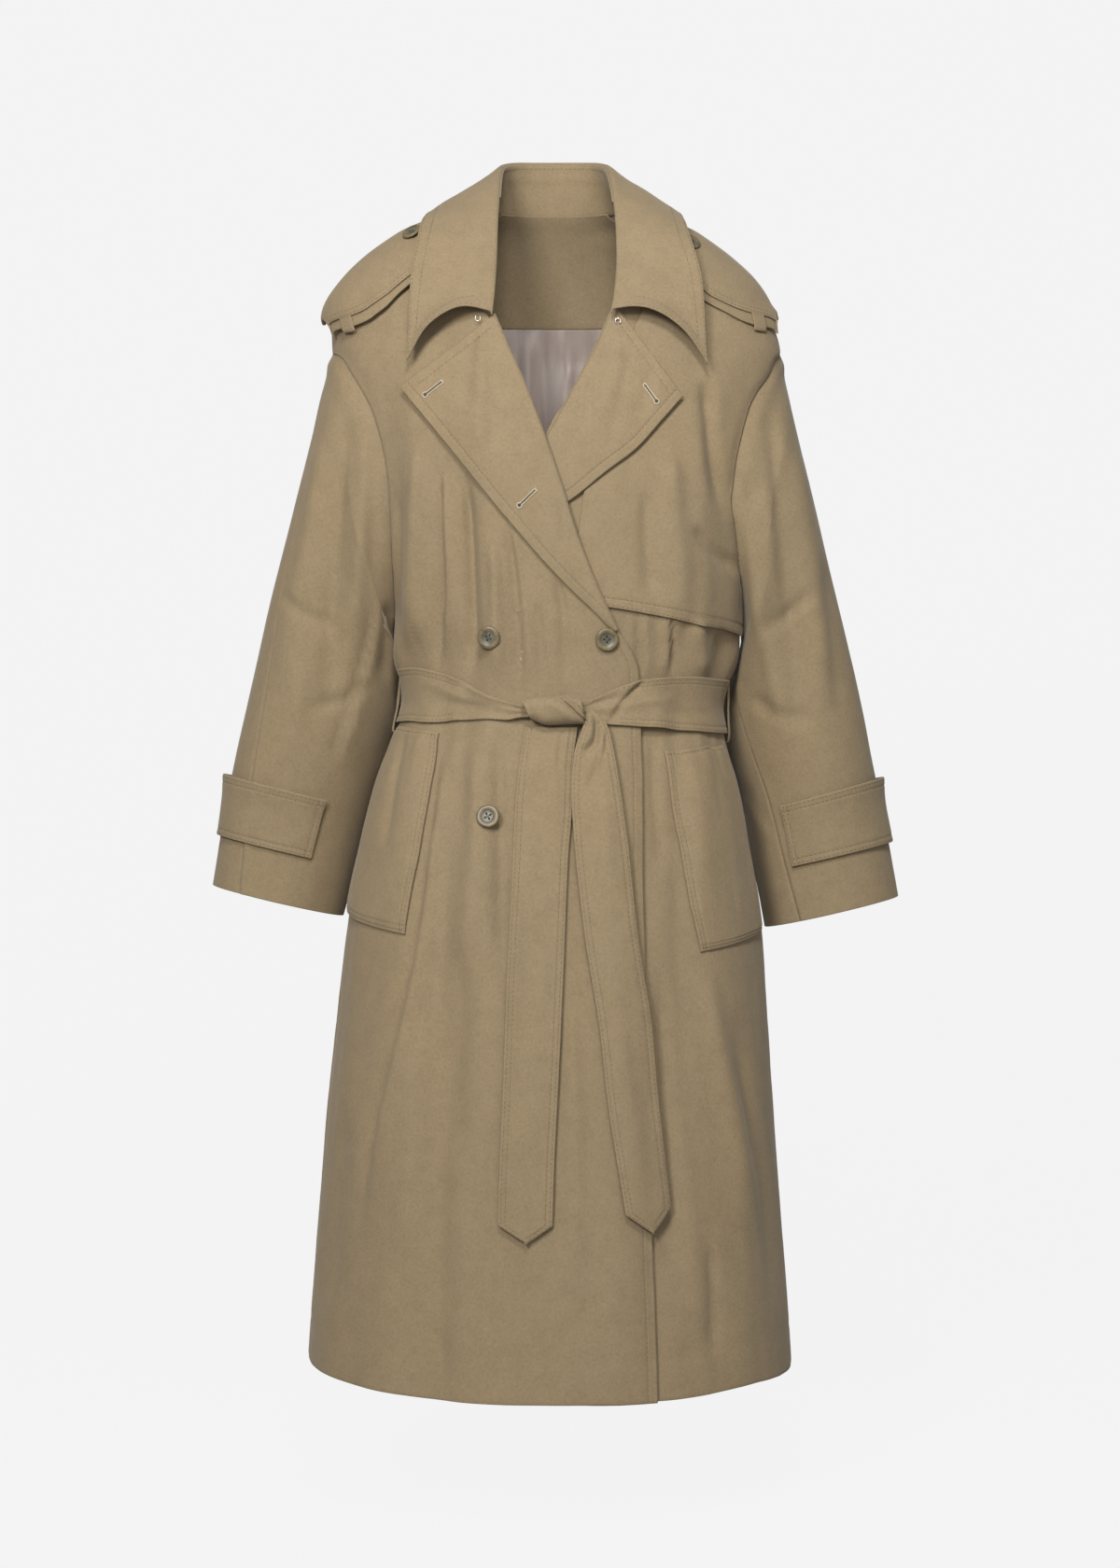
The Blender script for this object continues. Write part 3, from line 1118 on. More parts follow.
at, z, level, near, far = panel("left", edge_left, lambda l: 0 * l)
R = relief(at, z)
height = R + seam_dip(near, level) + hem_roll(level)
front_left_points = skin(at, z, height)
FRONT_LEFT = shell("front_left", front_left_points, CLOTH, None, (1, 1, 0, 0), turned=True)
LEFT = dict(at=at, z=z, level=level, near=near, far=far, points=front_left_points)

# the back runs from the wearer's right seam by the back to the left one
BACK_LEVELS = np.concatenate([LEVELS, [ROWS[-1] + 0.006, NECK_TOP - 0.004, NECK_TOP - 0.001, NECK_TOP]])
start = -arm("right", BACK_LEVELS) * 0.94 + math.pi * 0.06
stop = -arm("left", BACK_LEVELS) * 0.94
at, near, far = round_rows(start, stop, BACK_LEVELS, SEWN, SEWN, 112)
level = np.repeat(BACK_LEVELS[:, None], at.shape[1], 1)
z = hem(at, level)
R = relief(at, z)
middle = np.abs(near - far) / 2
height = R + seam_dip(near, level) + seam_dip(far, level) + hem_roll(level) + groove(middle, 0.0010, 0.0014) * smooth(0.002, 0.03, -level)
back_points = skin(at, z, height)
BACK = shell("back", back_points, CLOTH, None, (1, 0, 0, 0), turned=True)
dress(FRONT_RIGHT, CLOTH_A, ["front_right"], second=SATIN)
dress(FRONT_LEFT, CLOTH_A, ["front_left"], second=SATIN)
dress(BACK, CLOTH_A, ["back"], second=SATIN)

# ---------------------------------------------------------------- lapels
FOLD_LIFT = CLOTH + 0.0006
LAPEL_CREASES = [
    ("soft", 9, -2.4, [(513, 338), (505, 365), (500, 400), (497, 440)]),
    ("soft", 13, -2.2, [(536, 372), (531, 410), (529, 450), (534, 500)]),
    ("soft", 10, 1.8, [(518, 350), (514, 400), (514, 450), (520, 500)]),
    ("soft", 10, 1.4, [(556, 400), (560, 450), (576, 510)]),
    ("soft", 7, -1.2, [(600, 530), (604, 560), (606, 590)]),
    ("soft", 9, -1.8, [(700, 388), (694, 420), (686, 452)]),
    ("soft", 12, 1.6, [(664, 350), (658, 400), (640, 460)]),
    ("soft", 8, -1.3, [(676, 372), (664, 430), (648, 480)]),
    ("soft", 6, -1.0, [(622, 420), (618, 460), (606, 500)]),
]


def lapel(name, table, base, rows_, radius, thick, look_cols=46):
    """A lapel rolls out from behind the front, round its fold line, and lies back on the front."""
    t = Track([(k, *row) for k, row in enumerate(table)])
    ks = np.concatenate([np.array([0, .012, .025, .045, .08, .14, .2, .24, .28, .33, .42]), np.linspace(0.5, len(table) - 1, rows_)])
    v = t(ks)
    fu, fw, ou, ow, lift = (v[:, i][:, None] for i in range(5))
    wide = np.hypot(ou - fu, ow - fw)                      # sheet units
    metres = wide / SHEET
    r = (radius[1] + (radius[0] - radius[1]) * (1 - smooth(0, 1, ks / (len(table) - 1))))[:, None]
    r = np.minimum(r, 0.42 * metres)
    low, high = -(CLOTH + 0.0004 + thick), FOLD_LIFT + thick
    arc = np.radians(np.linspace(-90, 90, 13))[None]
    d_arc = r * (1 - np.cos(arc))
    h_arc = (low + high) / 2 + (high - low) / 2 * np.sin(arc) + 0 * d_arc
    d_in = r + np.array([[0.012, 0.006]]) * np.minimum(1, metres / 0.03)
    h_in = np.full(d_in.shape, low)
    flat = spaced((metres - r)[:, 0], np.array([0.0008]), TURNED, look_cols) + r
    s = flat / metres
    rise = high + (lift / 1000 - high) * smooth(0, 1, s) + 0.0016 * np.sin(math.pi * np.clip(s, 0, 1))
    d = np.concatenate([d_in, d_arc, flat], 1)
    h = np.concatenate([h_in, h_arc, rise], 1)
    share = d / metres
    u, w = fu + (ou - fu) * share, fw + (ow - fw) * share
    at, z, _ = on_front(u, w, lambda x, zz: base(x, zz) + h)
    extra = relief(at, z) * 0.55
    over = creased(LAPEL_CREASES, u, w) * smooth(0.02, 0.25, share)
    near_edge = np.maximum(metres - d, 0)
    length = np.concatenate([[0], np.cumsum(np.hypot(np.diff(fu[:, 0]), np.diff(fw[:, 0])))])[:, None] / SHEET + 0 * d
    dips = groove(near_edge - 0.0088, 0.00060, 0.0008) + groove(length - 0.0088, 0.00060, 0.0008)
    p = skin(at, z, 0.0, 0.0)
    points = skin(at, z, base(p[..., 0], p[..., 2]) + h + extra + over + dips * (h > 0))
    ob = shell(name, points, thick, None, (1, 1, 1, 0))
    first = 2 + 13
    return ob, points, metres[:, 0], first


LR = LAPEL_RIGHT + [(662, 673, 659, 677, 2.9)]
ob, lapel_points, metres, first = lapel("lapel_right", LR, overlap, 86, (0.0042, 0.0023), 0.0019)
dress(ob, CLOTH_B, ["lapel_right"])
normal, _ = grid_normals(lapel_points, None)
line, ways = inset(lapel_points, None, 0.0088, "right")
keep = metres > 0.014
stitch("stitches_collar", line[keep], ways[keep])
line, ways = inset(lapel_points[:, first:], None, 0.0088, "first")
stitch("stitches_collar", line[2:-13], ways[2:-13])
LAPEL_R = lapel_points

ob, lapel_points, metres, first = lapel("lapel_left", LAPEL_LEFT, lambda x, z: 0.0, 60, (0.0046, 0.0024), 0.0019)
dress(ob, CLOTH_B, ["lapel_left"])
line, ways = inset(lapel_points, None, 0.0088, "right")
keep = metres > 0.014
stitch("stitches_collar", line[keep], ways[keep])
line, ways = inset(lapel_points[:, first:], None, 0.0088, "first")
stitch("stitches_collar", line[2:-13], ways[2:-13])
LAPEL_L = lapel_points

# ---------------------------------------------------------------- storm flap
flap_edge = edge_track(GUN_FLAP_EDGE, 0.0)
at, z, p = on_front(*np.array(GUN_FLAP_HEM, float).T, 0.0)
flap_hem = Track(list(zip(at, z)))
L = levels_between(-0.430, GUN_FLAP_TOP, 0.0042, TURNED, RAW)
outer = np.minimum(arm("left", L) - 0.012, -0.150)
at, near, far = round_rows(outer, flap_edge(L)[:, 0], L, SEWN, RAW, 46)
level = np.repeat(L[:, None], at.shape[1], 1)
z = level + (flap_hem(at)[..., 0] + 0.430) * (1 - smooth(-0.430, -0.350, level))
R = relief(at, z)
low = level + 0.430
proud = 0.0036 + 0.0012 * np.exp(-((low / 0.02) ** 2)) - 0.0016 * np.exp(-((near / 0.006) ** 2)) * smooth(0.02, 0.05, low)
proud = proud + 0.0007 * lattice(at * 0.18 / 0.028, level * 0, 31) * np.exp(-((low / 0.020) ** 2))
flap_points = skin(at, z, R + proud + groove(low - 0.0088, 0.00060, 0.0008))
dress(shell("gun_flap", flap_points, 0.0018, None, (1, 1, 1, 1)), CLOTH_B, ["gun_flap"])
line, ways = inset(flap_points, None, 0.0088, "first")
stitch("stitches_body", line[3:-2], ways[3:-2])
line, ways = inset(flap_points, None, 0.0016, "first")
stitch("stitches_body", line[2:-2], ways[2:-2])

# ---------------------------------------------------------------- collar
COLLAR_CREASES = 6


def collar_section(station):
    ru, rw, ry, eu, ew, ey, su, sw, lift = station
    r, e = place(ru, rw, ry / 1000), place(eu, ew, ey / 1000)
    m = place((ru + eu) / 2 + su, (rw + ew) / 2 + sw, (ry + ey) / 2000)
    side = e - r
    up = np.array([0.0, 0.0, 1.0])
    out = np.array([side[0], side[1], 0.0])
    out = out / np.linalg.norm(out)
    m = m + (out * 0.35 + np.array([0, -0.25, 0]) * float(1 - 1.6 * smooth(10, 50, ry)) + up * 0.5) * lift / 1000
    turn = np.linspace(0, math.pi / 2, 14)[:-1, None]
    top = r - up * ROLL_RADIUS
    arc = top - out * ROLL_RADIUS * np.cos(turn) + up * ROLL_RADIUS * np.sin(turn)
    t = np.linspace(0, 1, 70)[:, None]
    row = np.concatenate([arc, (1 - t) ** 2 * r + 2 * t * (1 - t) * m + t * t * e])
    for _ in range(14):
        row[1:-1] = row[1:-1] * 0.5 + (row[:-2] + row[2:]) * 0.25
    return row


stations = COLLAR_RIGHT + [COLLAR_BACK] + COLLAR_LEFT[::-1]
shape = Track([(k, *row) for k, row in enumerate(stations)])
dense = np.linspace(0, len(stations) - 1, 500)
v = shape(dense)
ends = place((v[:, 0] + v[:, 3] * 1.5) / 2.5, (v[:, 1] + v[:, 4] * 1.5) / 2.5, (v[:, 2] + v[:, 5]) / 2000)
run = np.concatenate([[0], np.cumsum(np.linalg.norm(np.diff(ends, axis=0), axis=1))])
want = spaced([run[-1]], TURNED, TURNED, 112)[0]
sections = np.array([collar_section(shape(k)) for k in np.interp(want, run, dense)])
grid = []
for row in sections:
    length = np.concatenate([[0], np.cumsum(np.linalg.norm(np.diff(row, axis=0), axis=1))])
    places = spaced([length[-1]], np.array([0, .0012, .0024, .0036, .0050, .0064, .0078, .0092, .011]), TURNED, 40)[0]
    grid.append(np.stack([np.interp(places, length, row[:, k]) for k in range(3)], -1))
grid = np.array(grid)
across = runs(grid)
from_outer = across[:, -1:] - across
from_tip_r = want[:, None] + 0 * across
from_tip_l = (want[-1] - want)[:, None] + 0 * across
share = across / across[:, -1:]
along_ = want[:, None] + 0 * across
height = (0.0012 * lattice(along_ / 0.050, share * 2.0, 41) + 0.0005 * lattice(along_ / 0.020, share * 4.0, 42)) * smooth(0.0, 0.2, share)
for tip in (from_tip_r, from_tip_l):
    curl = np.exp(-((tip / 0.016) ** 2)) * smooth(0.05, 0.35, share) * (1 - 0.75 * smooth(0.65, 1.0, share))
    height = height + 0.0048 * curl
height = height + groove(from_outer - 0.0125, 0.00060, 0.0008) + groove(from_tip_r - 0.0125, 0.00060, 0.0008) * (share > 0.15) + groove(from_tip_l - 0.0125, 0.00060, 0.0008) * (share > 0.15)
fall_points = raised(grid, height, (0, 0, 1))
fall_thick = 0.0021
dress(shell("collar_fall", fall_points, fall_thick, (0, 0, 1), (1, 1, 1, 1)), CLOTH_B, ["collar_fall"])
inner = 11
for depth in (0.0018, 0.0125):
    line, ways = inset(fall_points, (0, 0, 1), depth, "right")
    cut = int(np.searchsorted(want, depth))
    stitch("stitches_collar", line[cut:len(line) - cut], ways[cut:len(ways) - cut])
    for side in ("first", "last"):
        line, ways = inset(fall_points[:, inner:], (0, 0, 1), depth, side)
        gap = int(np.searchsorted(TURNED, depth)) + 1
        stitch("stitches_collar", line[2:-gap], ways[2:-gap])

# the stand, from the neck seam to the seam of the fall
inner_edge = fall_points[:, 0]
index_at = np.interp(want, run, dense)
first_i, last_i = int(np.searchsorted(index_at, 3.9)), int(np.searchsorted(index_at, len(stations) - 4.9))
picks = np.arange(first_i, last_i + 1)
stand = []
for i in picks:
    top = inner_edge[i] - np.array([0, 0, 0.0004])
    share_ = (i - picks[0]) / (len(picks) - 1)
    a = math.pi + 0.35 - (math.pi + 0.70) * share_
    foot = skin(a, NECK_TOP, -0.0005) + np.array([0, 0, -0.0012])
    s = np.concatenate([[0, 0.02, 0.045, 0.08, 0.13], np.linspace(0.2, 0.8, 9), [0.87, 0.92, 0.955, 0.98, 1.0]])[:, None]
    stand.append(foot + (top - foot) * s)
stand = np.array(stand)
away = runs(stand)
swell = 0.0010 * np.sin(math.pi * away / away[:, -1:]) + groove(away, 0.0008, 0.0014) + groove(away[:, -1:] - away, 0.0008, 0.0014)
swell = swell + groove(away[:, -1:] - away - 0.004, 0.0003, 0.0008) - groove(away[:, -1:] - away - 0.0145, 0.0011, 0.0012)
swell = swell + 0.0006 * lattice(np.arange(len(stand))[:, None] / 14.0 + 0 * away, away * 0, 44)
n, _ = grid_normals(stand, None)
stand = stand - n * swell[..., None]
dress(shell("collar_stand", stand, 0.0018, None, (0, 1, 0, 1)), CLOTH_B, ["collar_stand"])
line, ways = inset(stand, None, 0.0035, "right")
stitch("stitches_collar", line - ways * 0.0018, -ways)

# ---------------------------------------------------------------- facing and lining inside the back
FACING_OUT, LINING_OUT = -0.0034, -0.0085
L = levels_between(FACING_EDGE, NECK_TOP + 0.0016, 0.0042, SEWN, SEWN)
at = np.linspace(math.pi / 2 + 0.86, math.pi / 2 - 0.86, 90)[None] + 0 * L[:, None]
level = L[:, None] + 0 * at
height = 0.0007 * lattice(at * 0.12 / 0.03, level / 0.05, 51) - groove(level - FACING_EDGE, 0.0006, 0.0012)
facing = skin(at, level, FACING_OUT + height * 0.6)
dress(shell("back_facing", facing, CLOTH * 0.7, None, (1, 0, 0, 0)), CLOTH_B, ["back_facing"])

LINING_CREASES = [
    ("soft", 1.5, -4.5, [(22, 104), (20, 130), (17, 160), (13, 230), (11, 330)]),
    ("step", 10, 3.0, [(21, 104), (19, 130), (16, 160), (12, 230), (10, 330)]),
    ("soft", 7, -2.4, [(-34, 108), (-32, 150), (-28, 240)]),
    ("soft", 8, 2.6, [(-16, 108), (-14, 160), (-10, 300)]),
    ("soft", 6, 2.0, [(2, 110), (3, 160), (5, 280)]),
    ("soft", 8, 2.2, [(40, 108), (38, 160), (34, 260)]),
    ("soft", 7, -2.0, [(54, 108), (50, 170), (46, 280)]),
    ("soft", 8, 2.0, [(-58, 108), (-54, 170), (-50, 280)]),
]
L = levels_between(-1.140, FACING_EDGE - 0.0008, 0.0085, RAW, SEWN)
at = np.linspace(math.pi / 2 + 0.86, math.pi / 2 - 0.86, 80)[None] + 0 * L[:, None]
level = L[:, None] + 0 * at
depth = FACING_OUT + (LINING_OUT - FACING_OUT) * smooth(-FACING_EDGE, 0.20, -level)
p = skin(at, level, depth, 0.3)
calm = smooth(0.0, 0.03, FACING_EDGE - level)
waves = creased(LINING_CREASES, p[..., 0] * 1000, -p[..., 2] * 1000) * (0.25 + 0.75 * calm)
waves = waves + (0.0013 * lattice(p[..., 0] / 0.014, level / 0.16, 52) + 0.0004 * lattice(p[..., 0] / 0.006, level / 0.06, 53)) * calm
points = skin(at, level, depth - 0.0014 + np.clip(waves, -0.004, 0.0034) - 0.0004, 0.3)
dress(shell("lining_back", points, LINING, None, (0, 0, 0, 0)), SATIN, ["lining_back"])

# ---------------------------------------------------------------- epaulettes
EP = Track([(k, *(v / 1000 for v in row)) for k, row in enumerate(EPAULETTE)])


def epaulette(name, sign):
    last = len(EPAULETTE) - 1
    middle, radius = (EPAULETTE_OUT + TURNBACK_OUT) / 2, (EPAULETTE_OUT - TURNBACK_OUT) / 2
    k_top = np.linspace(0, last, 64)
    path = [(k, float(EPAULETTE_OUT - 0.0046 * (1 - smooth(0, 1.6, k))), 0.0) for k in k_top]
    for turn in np.linspace(0, 180, 13)[1:-1]:
        path.append((last, middle + radius * math.cos(math.radians(turn)), radius * math.sin(math.radians(turn)) * 1.4))
    path += [(k, TURNBACK_OUT, 0.0) for k in np.linspace(last, 1.2, 36)]
    k = np.array([q[0] for q in path])
    out = np.array([q[1] for q in path])[:, None]
    beyond = np.array([q[2] for q in path])
    v = EP(k)
    xb, yb, xf, yf = (v[:, i][:, None] for i in range(4))
    under = (out < middle)
    wide = np.hypot(xf - xb, yf - yb)[:, 0]
    places = spaced(wide, TURNED, TURNED, 22)
    s = places / wide[:, None]
    shift = np.where(under, 0.0035, 0.0) * smooth(0.5, 1, s)
    x, y = xb + (xf - xb) * s, yb + (yf - shift - yb) * s
    edge = np.minimum(places, wide[:, None] - places)
    extra = 0.0012 * np.sin(math.pi * s) + groove(edge - 0.0062, 0.0005, 0.0008) * (~under) + 0.0006 * lattice(k[:, None] / 1.3, s * 1.6, 61 + sign) * (~under)
    # small hollow where the button pulls the strap down
    pulled = np.exp(-(((x - 0.1355) / 0.016) ** 2 + ((y + 0.037) / 0.016) ** 2))
    extra = extra - 0.0008 * pulled * (~under)
    near, end = (on_top(sign * EP(j)[0], EP(j)[1]) for j in (last - 0.3, last))
    way = (end - near) / np.linalg.norm(end - near)
    points = on_top_many(sign * x, y, out + extra) + way * beyond[:, None, None]
    ob = shell(name, points, 0.0019, None, (1, 1, 1, 1))
    return ob, points


def on_top_many(reach, y, out):
    """on_top for a grid, whose distances out differ from point to point."""
    base = on_top(reach, y, 0.0)
    return base + outward(base[..., 0], base[..., 1], base[..., 2]) * np.asarray(out)[..., None]


for name, sign in (("epaulette_right", -1), ("epaulette_left", 1)):
    ob, points = epaulette(name, sign)
    dress(ob, CLOTH_B, [name])
    for depth in (0.0018, 0.0064):
        for side in ("left", "right"):
            line, ways = inset(points[:62], None, depth, side)
            stitch("stitches_collar", line[3:], ways[3:] if (ways[:, 2].mean() > 0) else -ways[3:])


def keeper(name, sign):
    t = EP
    rows = []
    for k in np.linspace(3.95, 4.70, 22):
        _, _, xf, yf = t(k)
        row = []
        for shift, out in zip(np.interp(np.linspace(0, 1, 26), [0, 0.35, 0.7, 1], [0.0003, -0.0022, -0.0040, -0.0052]),
                              np.interp(np.linspace(0, 1, 26), [0, 0.12, 0.60, 0.86, 1], [0.0094, 0.0098, 0.0094, 0.0088, 0.0074])):
            row.append(on_top(sign * xf, yf + shift, out))
        rows.append(row)
    rows = np.array(rows)
    return shell(name, rows, 0.0015, None, (1, 1, 1, 1))


for name, sign in (("epaulette_keeper_right", -1), ("epaulette_keeper_left", 1)):
    dress(keeper(name, sign), CLOTH_B, [name])

# ---------------------------------------------------------------- sleeves
CREASES_SLEEVES = [
    ("soft", 13, -3.4, [(374, 420), (366, 500), (358, 600), (354, 700), (352, 812)]),
    ("step", 10, 2.0, [(406, 632), (396, 690), (374, 770), (352, 836)]),
    ("soft", 8, -2.4, [(416, 640), (415, 690), (410, 740)]),
    ("soft", 12, 2.8, [(352, 440), (342, 500), (330, 580), (314, 670), (298, 770)]),
    ("soft", 10, 2.6, [(394, 450), (389, 540), (382, 640), (374, 720)]),
    ("soft", 8, -1.8, [(300, 632), (332, 662), (366, 672)]),
    ("soft", 8, -1.6, [(400, 726), (366, 752), (324, 760)]),
    ("soft", 9, 1.6, [(326, 700), (316, 770), (306, 832)]),
    ("soft", 7, -1.2, [(300, 918), (296, 945), (292, 968)]),
    ("soft", 7, 1.1, [(336, 918), (332, 950), (330, 976)]),
    ("soft", 8, -2.6, [(784, 500), (797, 518), (812, 540)]),
    ("soft", 13, -3.2, [(824, 420), (832, 500), (842, 600), (852, 700), (866, 800)]),
    ("soft", 11, 3.0, [(803, 555), (811, 640), (828, 720), (844, 810)]),
    ("soft", 12, 2.6, [(848, 460), (862, 560), (880, 660), (894, 760)]),
    ("step", 9, -1.8, [(795, 843), (812, 872), (836, 905)]),
    ("soft", 9, -2.0, [(872, 632), (842, 662), (810, 674)]),
    ("soft", 9, -1.7, [(800, 742), (836, 766), (878, 770)]),
    ("soft", 10, -2.4, [(878, 590), (892, 690), (906, 790)]),
    ("soft", 7, -1.2, [(884, 930), (886, 955), (888, 982)]),
]
SLEEVES = {}


def ring(side, angle, k):
    t, _ = SLEEVES[side]
    v = t(k)
    ou, ow, iu, iw, oy, iy, hd = (v[..., i] for i in range(7))
    outer, inner = place(ou, ow, oy / 1000), place(iu, iw, iy / 1000)
    axis = (outer - inner) / 2
    c, s = np.cos(angle)[..., None], np.sin(angle)[..., None]
    deep = (hd / 1000)[..., None] * np.array([0.0, -1.0, 0.0])
    v2 = t(k + 0.2)
    down = (place(v2[..., 0], v2[..., 1], oy / 1000) + place(v2[..., 2], v2[..., 3], iy / 1000) - outer - inner) / 2
    n = np.cross(axis * -s + deep * c, down)
    n = n / np.linalg.norm(n, axis=-1, keepdims=True)
    n = np.where((n * (axis * c + deep * s)).sum(-1, keepdims=True) > 0, n, -n)
    inward = (inner - outer) / np.linalg.norm(inner - outer, axis=-1, keepdims=True)
    swing = 1.55 * SWING * smooth(-1.0, 0.7, k) * (1 - smooth(5.4, 7.6, k)) * np.where(np.cos(angle) < 0, np.clip(2 * np.cos(angle) * np.sin(angle), 0, 1), 0)
    return (outer + inner) / 2 + axis * c + deep * s + inward * swing[..., None], n


def sleeve(side, table, seams):
    sign = -1 if side == "right" else 1
    L = ARM_LEVELS[::-1]                                   # from the tip down to the pit
    seam = arm(side, L)
    front = skin(seam, L, relief(seam, L))
    back_at = (-seam * 0.94 + math.pi * 0.06) if side == "right" else -seam * 0.94
    back = skin(back_at, L, relief(back_at, L))
    loop = np.concatenate([front, back[::-1][1:-1]])
    size, half = len(loop), len(front) - 1
    coarse_depth = np.abs(loop[:, 1]).max()
    centre = loop.mean(0)
    reach = np.array([place(u, w, y / 1000) for u, w, y in ((table[0][0], table[0][1], table[0][4]), (table[0][2], table[0][3], table[0][5]))])
    away = reach.mean(0) - centre
    away = away / np.linalg.norm(away)
    tuck = loop - centre
    tuck[:, 0] *= 0.2
    tuck /= np.linalg.norm(tuck, axis=1, keepdims=True)
    loop = loop - away * 0.0030 - tuck * 0.0022
    axis, middle = (loop[0] - loop[half]) / 2, (loop[0] + loop[half]) / 2
    flat = axis / np.linalg.norm(axis)
    v = loop - middle
    start = np.arctan2(-v[:, 1] / coarse_depth, (v @ flat) / np.linalg.norm(axis)) % (2 * math.pi)
    start[0] = 0.0
    start = np.maximum.accumulate(np.where(np.arange(size) > half, np.maximum(start, math.pi), start))
    end = np.concatenate([np.linspace(seams[0], seams[1], half + 1)[:-1], np.linspace(seams[1], seams[0] + 360, size - half + 1)[:-1]])
    end = np.radians(end)
    t = Track([(k, *row) for k, row in enumerate(table)])
    count = len(table)
    SLEEVES[side] = (t, count)
    rings, ks = [loop], [-1.0]
    for k in list(np.arange(0, count - 1, 0.5)) + [count - 1.0]:
        share = ((k + 1) / count) ** 0.8
        at = start * (1 - share) + end * share
        rings.append(ring(side, at, np.full(size, k))[0])
        ks.append(k)
    rings = np.array(rings)
    gap = np.linalg.norm(np.diff(rings, axis=0), axis=2).mean(1)
    run = np.concatenate([[0], np.cumsum(gap)])
    smooth_rings = Track([(r, *q.ravel()) for r, q in zip(run, rings)])
    places = spaced([run[-1]], SEWN, TURNED, 110)[0]
    grid = smooth_rings(places).reshape(len(places), size, 3)
    pieces_ = {}
    for part, picks in (("front", list(range(0, half + 1))), ("back", list(range(half, size)) + [0])):
        rows = grid[:, picks]
        length = runs(rows)
        want = spaced(length[:, -1], SEWN, SEWN, 37)
        pts = np.array([np.stack([np.interp(w_, l_, r_[:, c]) for c in range(3)], -1) for w_, l_, r_ in zip(want, length, rows)])
        near, far = want, want[:, -1:] - want
        down = places[:, None] + 0 * want
        look = (0, -1, 0) if part == "front" else (0, 1, 0)
        n, _ = grid_normals(pts, look)
        n = np.where((n[..., 1:2] * 0 + 1) > 0, n, n)
        u, w = drafted(pts)
        face = smooth(0.05, 0.45, -n[..., 1])
        rear = smooth(0.05, 0.45, n[..., 1])
        big = creased(CREASES_SLEEVES, u, w) * face + creased(CREASES_SLEEVES, u + sign * 10, w + 26) * rear * 0.85
        calm = smooth(0.0, 0.030, down) * (1 - 0.65 * smooth(run[-1] - 0.20, run[-1] - 0.13, down))
        wrap_ = want / want[:, -1:] * 3.0 + (0 if part == "front" else 3)
        small = 0.0013 * lattice(wrap_ * 1.1, down / 0.22, 71 + sign) + 0.0006 * lattice(wrap_ * 2.6, down / 0.09, 73 + sign) + 0.0002 * lattice(wrap_ * 6, down / 0.03, 75)
        edge_calm = smooth(0.0, 0.012, near) * smooth(0.0, 0.012, far)
        height = (big * 1.9 + small) * calm * (0.35 + 0.65 * edge_calm)
        height = height + groove(near, 0.0016, 0.0015) + groove(far, 0.0016, 0.0015) + (0.0012 if part == "front" else -0.0004) * (np.exp(-((near - 0.004) / 0.004) ** 2) + np.exp(-((far - 0.004) / 0.004) ** 2))
        height = height + 0.0024 * np.exp(-(((down - 0.014) / 0.010) ** 2)) * smooth(-0.40, -0.24, pts[..., 2])
        height = height + groove(run[-1] - down - 0.028, 0.00035, 0.0016)
        pts = pts + n * height[..., None]
        name = f"sleeve_{side}_{part}"
        ob = shell(name, pts, CLOTH, look, (0, 0, 1, 0), turned=True)
        dress(ob, CLOTH_C, [name], second=SATIN)
        pieces_[part] = pts
    return pieces_


SLEEVE_R = sleeve("right", SLEEVE_RIGHT, SEAMS_RIGHT)
SLEEVE_L = sleeve("left", SLEEVE_LEFT, SEAMS_LEFT)

# ---------------------------------------------------------------- cuff straps
for name, side, ends in (("cuff_strap_right", "right", STRAP_ENDS_RIGHT), ("cuff_strap_left", "left", STRAP_ENDS_LEFT)):
    width = 0.058
    across = spaced([width], TURNED, TURNED, 12)[0] / width
    round_ = spaced([0.29], TURNED, TURNED, 74)[0] / 0.29
    k = np.interp(across, [0, 0.34, 0.68, 1], [7.13, 6.83, 6.53, 6.25])[:, None] + 0 * round_[None]
    out = Track([(0, 0.0044), (0.34, 0.0046), (0.68, 0.0052), (1, 0.0070)])(across)[:, 0][:, None] + 0 * round_[None]
    angle = np.radians(ends[0] + (ends[1] - ends[0]) * round_)[None] + 0 * k
    p, n = ring(side, angle, k)
    s = across[:, None] + 0 * angle
    edge = np.minimum(s, 1 - s) * width
    tip = np.minimum(round_, 1 - round_)[None] * 0.29 + 0 * s
    wave = 0.0011 * lattice(angle * 1.6, s * 1.5, 81 + ends[1]) + 0.0005 * lattice(angle * 5.0, s * 2.5, 82)
    out = out + wave * (0.4 + 0.6 * s) + 0.0012 * np.exp(-((s - 1) / 0.25) ** 2) * (0.5 + 0.5 * np.cos(angle))
    out = out + groove(edge - 0.0064, 0.0005, 0.0008) + groove(tip - 0.0064, 0.0005, 0.0008)
    pts = p + n * out[..., None]
    look = (-1 if side == "right" else 1, 0, 0)
    dress(shell(name, pts, 0.0021, look, (1, 1, 1, 1)), CLOTH_B, [name])
    for depth in (0.0018, 0.0064):
        for edge_ in ("first", "last"):
            line, ways = inset(pts, look, depth, edge_)
            stitch("stitches_sleeves", line[2:-2], ways[2:-2])
        for edge_ in ("left", "right"):
            line, ways = inset(pts, look, depth, edge_)
            stitch("stitches_sleeves", line[3:-3], ways[3:-3])

